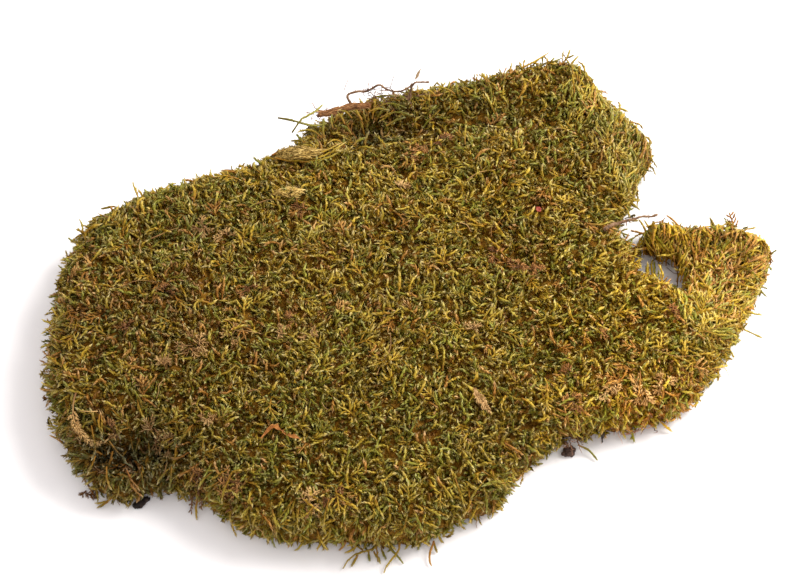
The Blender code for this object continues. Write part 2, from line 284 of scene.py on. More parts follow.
def leafy_skin(paths, radii, leaves, size, angles, broad, rng):
    """Points and normals of shoots: a three-sided stem, then three points for each leaf."""
    count = len(paths)
    used = STEM_RINGS[paths.shape[1]]
    stem, stem_out = tube_skin(paths[:, used], radii[:, used] * 0.7, 3, 0.2, rng)
    tangents = unit(np.gradient(paths, axis=1))
    side = unit(np.cross(tangents[:, 0], unit(rng.normal(size=(count, 3)))))
    turn = rng.uniform(0, 2 * math.pi, count)
    sweep = unit(rng.normal(size=(count, 3)) + [0, 0, -0.6]) * rng.uniform(0.1, 0.5, count)[:, None]
    skins, outs = [stem], [stem_out]
    for j in range(leaves):
        place = BARE_FOOT + (1 - BARE_FOOT) * (j + 0.5 * rng.rand(count)) / leaves
        spot, along = part_way(paths, tangents, place)
        across = unit(side - (side * along).sum(axis=1, keepdims=True) * along)
        up = np.cross(along, across)
        spin = turn + LEAF_TURN * j + rng.normal(0, 0.35, count)
        out = across * np.cos(spin)[:, None] + up * np.sin(spin)[:, None]
        flat = np.cross(along, out)
        opening = np.interp(place, (0.2, 0.8, 1.0), angles) * rng.uniform(0.7, 1.3, count)
        ahead = along * np.cos(opening)[:, None] + out * np.sin(opening)[:, None]
        length = size * rng.uniform(0.75, 1.25, count) * np.interp(place, (0.2, 0.6, 1), (1, 1.1, 0.8))
        half = (length * broad * rng.uniform(0.8, 1.2, count))[:, None] * flat
        foot = spot + out * radii[:, 0, None] * 0.4
        point = foot + (ahead + sweep * 0.6) * length[:, None]
        skins.append(np.stack([foot - half, foot + half, point], axis=1))
        outs.append(unit(np.stack([out - 0.6 * flat, out + 0.6 * flat, out + 0.5 * along], axis=1)))
    return np.concatenate(skins, axis=1), np.concatenate(outs, axis=1)


def leafy_faces(rings, leaves):
    """Triangles of a leafy shoot, their places on its strip, and how far along each point is."""
    faces, strip = tube_faces(rings, 3)
    stem_width = 0.22
    strip = strip * [stem_width, 1.0]
    stem = rings * 3 + 1
    along = [*np.repeat(np.arange(rings) / rings, 3), 1.0]
    more, places = [], []
    for j in range(leaves):
        first = stem + 3 * j
        place = BARE_FOOT + (1 - BARE_FOOT) * (j + 0.25) / leaves
        more.append((first, first + 1, first + 2))
        low = j / leaves
        places.append([(0.3, low), (0.3, low + 0.9 / leaves), (1.0, low + 0.45 / leaves)])
        along += [place * 0.92, place * 0.92, min(place * 0.92 + 0.12, 1.0)]
    return np.concatenate([faces, more]), np.concatenate([strip, places]), np.array(along)


class Batch:
    """Tubes and leafy shoots gathered for one joined mesh."""

    def __init__(self):
        """Start empty."""
        self.parts = []

    def tubes(self, paths, radii, sides, rough, tint, rng):
        """Add plain tubes around the paths, with one tint each. Radii may be one for all."""
        rings = paths.shape[1]
        radii = np.broadcast_to(radii, paths.shape[:2])
        paths = paths.copy()
        paths[:, :, 2] = np.maximum(paths[:, :, 2], 0.1 + radii * (1 + rough))
        skin, out = tube_skin(paths, radii, sides, rough, rng)
        faces, strip = tube_faces(rings, sides)
        along = np.append(np.repeat(np.arange(rings) / rings, sides), 1.0)
        tints = np.repeat(tint[:, None], skin.shape[1], axis=1)
        self.parts.append((skin, out, faces, strip, along, tints))

    def shoots(self, paths, radii, leaves, size, tint, rng, angles=OPEN_LEAVES, broad=0.26):
        """Add leafy shoots along the paths, with one tint each and a little more per leaf.

        leaves is the number on each shoot, size their length. Radii may be one for all.
        """
        radii = np.broadcast_to(radii, paths.shape[:2])
        skin, out = leafy_skin(paths, radii, leaves, size, angles, broad, rng)
        faces, strip, along = leafy_faces(len(STEM_RINGS[paths.shape[1]]), leaves)
        tints = np.repeat(tint[:, None], skin.shape[1], axis=1)
        own_tint = rng.normal(0, 0.1, (len(paths), leaves))
        tints[:, -3 * leaves:] += np.repeat(own_tint, 3, axis=1)
        self.parts.append((skin, out, faces, strip, along, tints))

    def build(self, name, material, stands_for=None, lighter=0.0):
        """Make one object of it all, with attributes, round shading and a tiled UV map.

        It rides on the body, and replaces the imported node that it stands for, if any.
        """
        tiles = sum(len(part[0]) for part in self.parts)
        columns = math.ceil(math.sqrt(tiles))
        rows = math.ceil(tiles / columns)
        margin = 0.06
        points, outs, faces, uvs, alongs, tints = [], [], [], [], [], []
        start = 0
        first = 0
        for skin, out, trios, strip, along, tint in self.parts:
            count, per, _ = skin.shape
            skin[:, :, 2] = np.maximum(skin[:, :, 2], LOWEST)
            points.append(skin.reshape(-1, 3))
            outs.append(out.reshape(-1, 3))
            offsets = start + np.arange(count) * per
            faces.append((trios[None] + offsets[:, None, None]).reshape(-1, 3))
            tile = first + np.arange(count)
            corner = np.stack([tile % columns, tile // columns], axis=1)
            inset = strip * (1 - 2 * margin) + margin
            uv = (corner[:, None, None, :] + inset[None]) / np.array([columns, rows])
            uvs.append(uv.reshape(-1, 2))
            alongs.append(np.tile(along, count))
            tints.append(tint.ravel())
            start += count * per
            first += count
        thing = mesh_object(name, np.concatenate(points) * MM, np.concatenate(faces))
        mesh = thing.data
        layer = mesh.uv_layers.new(name="OFBake")
        layer.data.foreach_set("uv", np.concatenate(uvs).astype(np.float32).ravel())
        # Painted light and shade of each part of the sheet, with a piece's own lightening
        shades = [tone_and_painted_light(part) + lighter for part in points]
        for key, values in (("along", alongs), ("tint", tints), ("shade", shades)):
            set_attribute(mesh, key, np.concatenate(values))
        mesh.normals_split_custom_set_from_vertices(np.concatenate(outs).tolist())
        mesh.materials.append(MATERIALS[material])
        own(thing, stands_for)


def build_tubes(name, material, paths, radii, sides, rough, rng):
    """Piece of plain tubes with chance tints."""
    batch = Batch()
    batch.tubes(paths, radii, sides, rough, rng.rand(len(paths)), rng)
    batch.build(name, material)


def mesh_object(name, points, faces):
    """Object from arrays of points and triangles."""
    mesh = bpy.data.meshes.new(name)
    mesh.vertices.add(len(points))
    mesh.vertices.foreach_set("co", np.asarray(points, np.float32).ravel())
    mesh.loops.add(len(faces) * 3)
    mesh.loops.foreach_set("vertex_index", np.asarray(faces, np.int32).ravel())
    mesh.polygons.add(len(faces))
    mesh.polygons.foreach_set("loop_start", np.arange(0, len(faces) * 3, 3, dtype=np.int32))
    mesh.update(calc_edges=True)
    mesh.shade_smooth()
    thing = bpy.data.objects.new(name, mesh)
    bpy.context.scene.collection.objects.link(thing)
    return thing


def sheet_object(name, over, thickness):
    """Thin closed sheet whose upper side is a grid of points in millimetres."""
    long, wide, _ = over.shape
    over = over.reshape(-1, 3)
    grid = np.arange(len(over)).reshape(long, wide)
    faces = []
    for i in range(long - 1):
        for j in range(wide - 1):
            a, b, c, d = grid[i, j], grid[i + 1, j], grid[i + 1, j + 1], grid[i, j + 1]
            faces += [(a, b, c), (a, c, d)]
    below = len(over)
    faces += [(c + below, b + below, a + below) for a, b, c in faces]
    rim = [*grid[0], *grid[1:, -1], *grid[-1, -2::-1], *grid[-2:0:-1, 0]]
    for a, b in zip(rim, rim[1:] + rim[:1]):
        faces += [(a, b, b + below), (a, b + below, a + below)]
    return mesh_object(name, np.concatenate([over, over - thickness * UP]) * MM, np.array(faces))


def own(thing, stands_for=None):
    """Let a finished piece ride on the body and stand for a node, whose imported solid is hidden."""
    if stands_for:
        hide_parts(stands_for)
    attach(thing, "root")


# ---------------------------------------------------------------- materials


class Nodes:
    """Short way to build a Principled material's node tree."""

    def __init__(self, name):
        """Empty Principled material."""
        self.material = bpy.data.materials.new(name)
        self.material.use_nodes = True
        self.tree = self.material.node_tree
        self.shader = self.tree.nodes["Principled BSDF"]

    def new(self, kind, values=(), **settings):
        """Add a node, set its settings and its named or numbered inputs, and return it."""
        node = self.tree.nodes.new("ShaderNode" + kind)
        for key, value in settings.items():
            setattr(node, key, value)
        for key, value in dict(values).items():
            if isinstance(value, bpy.types.NodeSocket):
                self.tree.links.new(value, node.inputs[key])
            else:
                node.inputs[key].default_value = value
        return node

    def attribute(self, name):
        """Value of a mesh attribute."""
        return self.new("Attribute", attribute_name=name).outputs["Fac"]

    def noise(self, scale, detail=3.0, rough=0.55):
        """Noise over the object's own coordinates, scale in lumps per metre."""
        place = self.new("TexCoord").outputs["Object"]
        values = {"Vector": place, "Scale": scale, "Detail": detail, "Roughness": rough}
        return self.new("TexNoise", values).outputs["Fac"]

    def math(self, operation, a, b=0.0, c=0.0):
        """Math node on values or sockets."""
        return self.new("Math", {0: a, 1: b, 2: c}, operation=operation).outputs[0]

    def ramp(self, factor, stops):
        """Colour ramp through (position, colour) stops."""
        node = self.new("ValToRGB", {"Fac": factor})
        elements = node.color_ramp.elements
        while len(elements) < len(stops):
            elements.new(0.5)
        for element, (position, color) in zip(elements, stops):
            element.position = position
            element.color = (*srgb(color), 1)
        return node.outputs["Color"]

    def mix(self, factor, a, b, blend="MIX"):
        """Blend of two colours."""
        node = self.new("Mix", data_type="RGBA", blend_type=blend)
        for key, value in ((0, factor), (6, a), (7, b)):
            if isinstance(value, bpy.types.NodeSocket):
                self.tree.links.new(value, node.inputs[key])
            else:
                node.inputs[key].default_value = value if key == 0 else (*srgb(value), 1)
        return node.outputs[2]

    def darken(self, color, factor):
        """Colour times a value."""
        gray = self.new("CombineColor", {0: factor, 1: factor, 2: factor}).outputs[0]
        return self.mix(1.0, color, gray, "MULTIPLY")

    def finish(self, color, rough, bump=None, bump_height=0.0004, strength=0.5, specular=0.4):
        """Connect colour, roughness and bump, and return the material."""
        link = self.tree.links.new
        link(color, self.shader.inputs["Base Color"])
        link(rough, self.shader.inputs["Roughness"])
        self.shader.inputs["Specular IOR Level"].default_value = specular
        if bump is not None:
            values = {"Height": bump, "Distance": bump_height, "Strength": strength}
            link(self.new("Bump", values).outputs[0], self.shader.inputs["Normal"])
        return self.material


def srgb(color):
    """Linear colour from 0 to 255 screen values."""
    return [((c / 255 + 0.055) / 1.055) ** 2.4 if c > 10 else c / 255 / 12.92 for c in color]


def shoot_material(name, root, low, mid, high, tip):
    """Moss shoot: dark at the root, its own tint in the middle, pale at the tip, times the painted light
    and shade of its part of the sheet.
    """
    nodes = Nodes(name)
    tint = nodes.attribute("tint")
    along = nodes.attribute("along")
    patch = nodes.noise(38.0, 2.0)
    tint = nodes.math("ADD", tint, nodes.math("MULTIPLY_ADD", patch, 0.9, -0.45))
    body = nodes.ramp(tint, ((0.0, low), (0.5, mid), (1.0, high)))
    fine = nodes.noise(1500.0, 2.0, 0.6)
    speck = nodes.math("MULTIPLY_ADD", fine, 0.65, 0.68)
    # Painted light and shade: each part of the sheet made lighter or darker by the shade attribute
    speck = nodes.math("MULTIPLY", speck, nodes.attribute("shade"))
    rooted = nodes.math("SMOOTH_MIN", nodes.math("MULTIPLY", along, 1.9), 1.0, 0.1)
    color = nodes.mix(rooted, root, nodes.darken(body, speck))
    # Pale tip: partly the young tip's own colour, partly a painted highlight
    pale_tip_and_highlight = nodes.math("MULTIPLY", nodes.math("POWER", along, 7.0), 0.48)
    color = nodes.mix(pale_tip_and_highlight, color, tip)
    rough = nodes.math("MULTIPLY_ADD", fine, 0.3, 0.45)
    return nodes.finish(color, rough, fine, 0.0004, 0.35, 0.34)


def bark_material(name, colors, scale):
    """Rough broken surface: mottled, with dark cracks and pale worn grain."""
    nodes = Nodes(name)
    coarse = nodes.noise(scale * 0.45, 4.0, 0.65)
    fine = nodes.noise(scale * 2.4, 3.0, 0.7)
    both = nodes.math("MULTIPLY_ADD", fine, 0.45, nodes.math("MULTIPLY_ADD", coarse, 0.9, -0.17))
    color = nodes.ramp(both, tuple(zip((0.3, 0.5, 0.72), colors)))
    rough = nodes.math("MULTIPLY_ADD", fine, 0.25, 0.65)
    return nodes.finish(color, rough, both, 0.0003, 0.7, 0.25)


def leaf_material(name, colors):
    """Dry leaf: blotched, with fine veins as bumps."""
    nodes = Nodes(name)
    blotch = nodes.noise(420.0, 4.0, 0.6)
    veins = nodes.noise(2600.0, 2.0, 0.5)
    color = nodes.ramp(blotch, tuple(zip((0.3, 0.5, 0.7), colors)))
    rough = nodes.math("MULTIPLY_ADD", veins, 0.3, 0.5)
    return nodes.finish(color, rough, veins, 0.0002, 0.5, 0.35)


def thatch_material():
    """Brown dead stems and soil under the shoots, with painted shade from the sheet's shade attribute.
    """
    nodes = Nodes("moss_thatch")
    coarse = nodes.noise(170.0, 3.0, 0.6)
    fine = nodes.noise(1300.0, 6.0, 0.8)
    both = nodes.math("MULTIPLY_ADD", fine, 1.1, nodes.math("MULTIPLY_ADD", coarse, 0.5, -0.3))
    color = nodes.ramp(both, ((0.3, (70, 42, 4)), (0.5, (128, 86, 10)), (0.7, (172, 130, 52))))
    # Painted shade: darker in the hollows and at the front left
    color = nodes.darken(color, nodes.attribute("shade"))
    rough = nodes.math("MULTIPLY_ADD", fine, 0.2, 0.75)
    return nodes.finish(color, rough, both, 0.0012, 0.9, 0.15)


def floor_material():
    """Pale seamless paper."""
    nodes = Nodes("pale_floor")
    grain = nodes.noise(60.0, 2.0)
    color = nodes.ramp(grain, ((0.0, (243, 242, 243)), (1.0, (247, 246, 247))))
    rough = nodes.math("MULTIPLY_ADD", grain, 0.1, 0.8)
    return nodes.finish(color, rough, specular=0.1)


# Colours of what grew: of the root, of low, middle and high tint, and of the tip, which is partly its
# own paler colour and partly a painted highlight
GROWN = {
    "moss_golden": ((138, 90, 2), (136, 104, 6), (152, 125, 18), (169, 148, 54), (228, 216, 174)),
    "moss_olive": ((130, 85, 2), (120, 94, 4), (134, 114, 14), (152, 138, 46), (222, 210, 170)),
    "moss_green": ((118, 82, 2), (96, 86, 2), (107, 102, 8), (125, 123, 32), (204, 198, 148)),
    "moss_brown": ((124, 74, 4), (126, 82, 12), (148, 103, 32), (170, 132, 70), (216, 188, 148)),
    "dead_straw": ((106, 80, 28), (140, 112, 48), (168, 138, 68), (192, 164, 96), (208, 184, 122)),
    "fresh_shoot": ((92, 80, 24), (116, 108, 34), (144, 136, 54), (172, 162, 82), (198, 186, 116)),
    "dead_sprig": ((110, 72, 36), (138, 101, 52), (164, 128, 72), (188, 154, 98), (208, 180, 132)),
    "wood_strand": ((84, 50, 22), (118, 76, 38), (152, 106, 60), (186, 142, 94), (206, 168, 122)),
    "dry_leaf": ((120, 86, 44), (148, 112, 62), (176, 140, 86), (196, 164, 108), (206, 178, 128)),
    "rootlets": ((58, 34, 22), (88, 52, 36), (122, 80, 58), (156, 116, 90), (170, 134, 108)),
    "withered": ((76, 42, 12), (104, 62, 22), (132, 86, 36), (158, 112, 56), (182, 138, 84)),
}
MATERIALS = {name: shoot_material(name, *colors) for name, colors in GROWN.items()}

# ---------------------------------------------------------------- moss regions

KINDS = ("golden", "olive", "green", "brown")

# Soft spots of the sheet, each with its strength, its middle and how far it reaches both ways
GOLD_SPOTS = ((1.6, 125, 8, 35, 28), (0.9, 0, 45, 50, 20), (0.6, 85, -15, 30, 25))
GREEN_SPOTS = ((0.9, -95, 28, 45, 18), (0.6, -10, -75, 50, 20))
BROWN_SPOTS = ((1.1, -105, -25, 38, 30), (0.9, 40, 6, 14, 9), (2.0, 95, -54, 30, 10),
               (2.4, 126, 8, 20, 17), (0.8, -70, -93, 12, 6))
# Painted light on the flap and the right side, where the key light falls, and painted shade over the
# hollows and at the front left
PAINTED_LIGHT_SPOTS = ((0.4, 126, 8, 28, 26), (0.5, 85, -18, 40, 34), (0.75, 105, 21, 9, 7),
               (-0.12, 100, 58, 10, 36), (0.9, 95, -56, 32, 12), (-0.2, -108, -20, 40, 45),
               (-0.65, -110, -82, 36, 16), (-0.2, 0, 76, 45, 12), (0.15, 15, 38, 60, 18),
               (-0.5, -118, -78, 13, 7), (-0.6, -23, 70, 6, 7), (-0.4, -12, 71, 13, 6))
HOLLOW_SPOTS = ((6.5, -118, -77, 15, 8), (3.0, -12, 70, 13, 7), (4.0, -23, 70, 7, 8),
                (2.4, 22, 66, 10, 6), (2.2, 43, 8, 8, 5), (2.0, -81, 14, 8, 5),
                (2.0, -66, -8, 7, 5), (2.4, 97, 22, 9, 5))
RAGGED_SPOTS = ((2.6, 97, 58, 12, 36), (1.5, 140, -8, 9, 24))
JUTTING_SPOTS = ((1.2, 97, 58, 16, 42), (1.0, 142, -5, 13, 28))
TUFT_SPOTS = ((1.0, 98, 60, 16, 44), (0.6, 55, 103, 40, 8), (0.5, 122, 27, 22, 6),
              (0.5, 140, -8, 10, 24))


def blobs(points, spots):
    """Strength of soft spots at the points, added up."""
    total = np.zeros(len(points))
    for strength, x, y, half_x, half_y in spots:
        dx = (points[:, 0] - x) / half_x
        dy = (points[:, 1] - y) / half_y
        total += strength * np.exp(-dx * dx - dy * dy)
    return total


def sorted_kinds(points, rng):
    """Kind of the shoot at each point, by region and chance."""
    mottle = [waves(points, 16.0, seed) for seed in (11, 12, 13, 14)]
    gold = 1.0 + 0.55 * mottle[0] + blobs(points, GOLD_SPOTS)
    olive = 1.3 + 0.4 * mottle[1]
    green = 0.75 + 0.55 * mottle[2] + blobs(points, GREEN_SPOTS)
    brown = 0.28 + 0.32 * mottle[3] + blobs(points, BROWN_SPOTS)
    shares = np.maximum(np.stack([gold, olive, green, brown], axis=1), 0.03)
    shares = (shares / shares.sum(axis=1, keepdims=True)).cumsum(axis=1)
    return (rng.rand(len(points))[:, None] > shares[:, :-1]).sum(axis=1)


def swirl(points):
    """Direction of growth over the surface: alike within a patch."""
    return 2.6 * waves(points, 60.0, 21) + 1.5 * waves(points, 18.0, 22)


def downhill(normals):
    """Direction of growth that runs down the slope, for grow."""
    across = unit(np.cross(normals, SIDEWAYS))
    down = unit(normals * [1, 1, 0] + 1e-6)
    return np.arctan2((down * np.cross(across, normals)).sum(axis=1), (down * across).sum(axis=1))


def outside(normals, middles):
    """Faces of the top and the walls."""
    return (normals[:, 2] > -0.35) & (middles[:, 2] > 0.8) & ~in_gaps(middles)


# Corners of the gaps beside the neck of the flap, where nothing grows
GAPS = (((88, 24), (97, 22.5), (99, 28), (96, 36), (86, 35)),
        ((91, 9), (93, 21), (101, 24), (109, 20), (114, 10), (114, 1), (110, -4), (100, 5)))


def in_gaps(points):
    """Which points lie over the gaps beside the neck."""
    inside = np.zeros(len(points), bool)
    for corners in GAPS:
        odd = np.zeros(len(points), bool)
        for (ax, ay), (bx, by) in zip(corners, corners[1:] + corners[:1]):
            level = (ay > points[:, 1]) != (by > points[:, 1])
            odd ^= level & (points[:, 0] < (bx - ax) * (points[:, 1] - ay) / (by - ay) + ax)
        inside |= odd
    return inside


def tone_and_painted_light(points):
    """Tone of each part of the sheet, about 1: random mottle, with painted light where the key light
    falls on the flap and the right side, and painted shade in the hollows and at the front left.
    """
    mottle = 0.06 * waves(points, 45.0, 51, 5) + 0.05 * waves(points, 14.0, 52, 5)
    return 1.25 + mottle + blobs(points, PAINTED_LIGHT_SPOTS)


def hollow_depth(points):
    """How far the shoots stand back in the hollows of the sheet, in millimetres."""
    return blobs(points, HOLLOW_SPOTS) + 0.9 * waves(points, 11.0, 53, 6)


def at_back_left(points):
    """Which points lie in the back left part of the sheet, where its edge is dense."""
    return (points[:, 0] < 25) & (points[:, 1] > 20)


def edge_trim(points, steep):
    """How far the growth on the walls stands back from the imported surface, as a height."""
    trim = np.where(at_back_left(points), 0.9, -1.5) - ragged_depth(points)
    return np.clip(steep * 2, 0, 1) * trim


def jutting(points):
    """Where shoots stand straight out of the walls, from 0 to 1."""
    return np.clip(blobs(points, JUTTING_SPOTS), 0, 1)


def ragged_depth(points):
    """How much further the walls stand back where long tufts reach out of them."""
    notched = np.clip(1.0 + 0.9 * waves(points, 15.0, 62, 6), 0.0, 2.2)
    return blobs(points, RAGGED_SPOTS) * notched


# ---------------------------------------------------------------- moss pieces


def plant(rng, count, cell, rings, length, width, lean, spread, height, curl):
    """Places, normals, paths, widths and tints of shoots strewn over the top and the walls."""
    places, normals = MOSS.scatter(count, cell, rng, outside)
    total = len(places)
    steep = 1 - np.clip(normals[:, 2], 0, 1)
    normals = unit(normals + 0.12 * rng.normal(size=(total, 3)))
    swell = 0.5 * waves(places, 6.0, 32) - hollow_depth(places) + edge_trim(places, steep)
    jut = jutting(places) * np.clip(4 * steep, 0, 1)
    tips = places + normals * (swell + rng.normal(height, 0.7, total) * (1 + jut))[:, None]
    lengths = rng.uniform(*length, total)
    stray = rng.normal(size=total)
    heading = swirl(tips) + (spread + 0.8 * (steep > 0.25)) * stray
    heading = np.where(jut > 0.25, downhill(normals) + 0.55 * stray, heading)
    leans = [rng.uniform(*part, total) * (1 - 0.4 * jut) for part in lean]
    paths = grow(tips, normals, lengths, rings, leans, heading, rng.normal(0, curl, total))
    sag = steep * rng.uniform(0.0, 0.4, total) * lengths
    paths[:, :, 2] -= sag[:, None] * (np.linspace(0, 1, rings) ** 2)[None, :]
    slim = np.interp(np.linspace(0, 1, rings), (0, 0.35, 0.75, 1), (0.8, 1.0, 0.85, 0.5))
    radii = rng.uniform(*width, total)[:, None] * slim[None, :]
    return places, normals, paths, radii, np.clip(rng.normal(0.5, 0.18, total), 0, 1)


def side_branches(paths, normals, tints, pairs, reach, uneven, rng):
    """Feather-like side branches of fronds: their paths and tints."""
    count = len(paths)
    tangents = unit(np.gradient(paths, axis=1))
    made, shades = [], []
    for j in range(2 * pairs):
        place = 0.25 + 0.68 * (j + rng.uniform(-0.3, 0.3, count)) / (2 * pairs)
        spot, along = part_way(paths, tangents, place)
        side = unit(np.cross(along, normals)) * (1 if j % 2 else -1)
        rise = np.cross(side, along) * rng.normal(0.1, 0.25, count)[:, None]
        length = reach * (1.15 - place) * rng.uniform(1 - uneven, 1 + uneven, count)
        first = unit(side + rise + along * rng.uniform(0.5, 1.1, count)[:, None])
        second = unit(first + along * rng.uniform(0.1, 0.7, count)[:, None])
        half = (length / 2)[:, None]
        made.append(np.stack([spot, spot + first * half, spot + (first + second) * half], axis=1))
        shades.append(tints + rng.normal(0, 0.1, count))
    return np.concatenate(made), np.concatenate(shades)


def build_by_kind(name, places, paths, radii, tints, leaves, size, rng, **leaf_shape):
    """Leafy shoots joined into one piece of each kind."""
    radii = np.broadcast_to(radii, paths.shape[:2])
    kinds = sorted_kinds(places, rng)
    for index, kind in enumerate(KINDS):
        chosen = kinds == index
        batch = Batch()
        batch.shoots(paths[chosen], radii[chosen], leaves, size, tints[chosen], rng, **leaf_shape)
        batch.build(f"{name}_{kind}", "moss_" + kind)


def make_shoots(rng):
    """The carpet: short leafy shoots over the top and the walls, joined by kind."""
    places, _, paths, radii, tints = plant(
        rng, count=22500, cell=1.26, rings=3, length=(3.2, 5.6), width=(0.40, 0.58),
        lean=((0.1, 0.7), (0.2, 1.2)), spread=1.3, height=-0.7, curl=0.8)
    build_by_kind("shoots", places, paths, radii, tints, 10, 1.7, rng, broad=0.3)


def make_fronds(rng):
    """Longer shoots and feathery fronds that lie over the carpet, joined by kind."""
    single = plant(rng, count=5000, cell=2.5, rings=5, length=(6.0, 11.5), width=(0.42, 0.68),
                   lean=((0.3, 0.9), (0.9, 1.65)), spread=1.2, height=0.1, curl=1.5)
    feather = plant(rng, count=480, cell=9.0, rings=5, length=(8.0, 13.0), width=(0.40, 0.56),
                    lean=((0.5, 1.1), (1.15, 1.6)), spread=0.5, height=0.5, curl=0.8)
    single_kinds = sorted_kinds(single[0], rng)
    feather_kinds = sorted_kinds(feather[0], rng)
    for index, kind in enumerate(KINDS):
        batch = Batch()
        _, _, paths, radii, tints = (item[single_kinds == index] for item in single)
        batch.shoots(paths, radii * 1.15, 14, 1.8, tints, rng, CLOSED_LEAVES, 0.3)
        _, normals, paths, radii, tints = (item[feather_kinds == index] for item in feather)
        batch.shoots(paths, radii, 14, 1.6, tints, rng)
        paths, tints = side_branches(paths, normals, tints, 3, 5.5, 0.4, rng)
        batch.shoots(paths, 0.38, 7, 1.4, tints, rng)
        batch.build(f"fronds_{kind}", "moss_" + kind)


def make_thatch(rng):
    """Dark mass of old stems under the shoots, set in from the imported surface."""
    points, normals = MOSS.points, MOSS.normals
    depth = np.where(normals[:, 2] > -0.5, 2.7 + np.maximum(hollow_depth(points), 0), 0.0)
    depth += np.where(np.abs(normals[:, 2]) < 0.7, ragged_depth(points), 0.0)
    depth *= np.clip(points[:, 2] / 14, 0.35, 1.0)
    points = points - normals * depth[:, None]
    thing = mesh_object("mat_thatch", points * MM, MOSS.faces)
    longest_edge = 2.6
    shape = bmesh.new()
    shape.from_mesh(thing.data)
    for _ in range(2):
        long_edges = [e for e in shape.edges if e.calc_length() > longest_edge * MM]
        bmesh.ops.subdivide_edges(shape, edges=long_edges, cuts=1)
        bmesh.ops.triangulate(shape, faces=shape.faces)
    middles = np.array([face.calc_center_median()[:] for face in shape.faces]) / MM
    shape.faces.ensure_lookup_table()
    cut = [shape.faces[i] for i in np.flatnonzero(in_gaps(middles))]
    bmesh.ops.delete(shape, geom=cut, context="FACES")
    shape.to_mesh(thing.data)
    shape.free()
    mesh = thing.data
    points = vertex_rows(mesh, "co") / MM
    normals = vertex_rows(mesh, "normal")
    lumps = 0.8 * waves(points, 5.0, 41) + 0.5 * waves(points, 2.2, 42)
    lumps += rng.uniform(-0.5, 0.5, len(points))
    under = normals[:, 2] < -0.5
    points += normals * (lumps * np.where(under, 0.0, 1.0))[:, None]
    points[under, 2] = 1.5 + 0.6 * lumps[under]
    points[:, 2] = np.maximum(points[:, 2], 0.3)
    mesh.vertices.foreach_set("co", (points * MM).ravel())
    mesh.update()
    # Painted shade of the thatch: only darkened, in the hollows and at the front left
    set_attribute(mesh, "shade", np.clip(tone_and_painted_light(points), 0.35, 1.0))
    mesh.materials.append(thatch_material())
    own(thing, "moss_mat")


def make_underside(rng):
    """Felt of brown root hairs under the mat."""
    roots, _ = MOSS.scatter(900, 3.0, rng, lambda normals, _: normals[:, 2] < -0.5)
    count = len(roots)
    roots[:, 2] = rng.uniform(0.4, 1.4, count)
    flat = level_directions(count, rng)
    paths = wander(roots, flat, rng.uniform(5, 13, count), 6, 0.35, rng)
    middle = np.array([[0.0, -4.0]])
    paths[:, :, :2] = middle + (paths[:, :, :2] - middle) * 0.97
    paths[:, :, 2] = np.clip(0.8 + 0.35 * (paths[:, :, 2] - 0.8), 0.4, 1.5)
    radii = rng.uniform(0.14, 0.32, count)[:, None] * np.linspace(1, 0.5, 6)
    build_tubes("underside_root_hairs", "rootlets", paths, radii, 3, 0.2, rng)


# ---------------------------------------------------------------- edges and strays

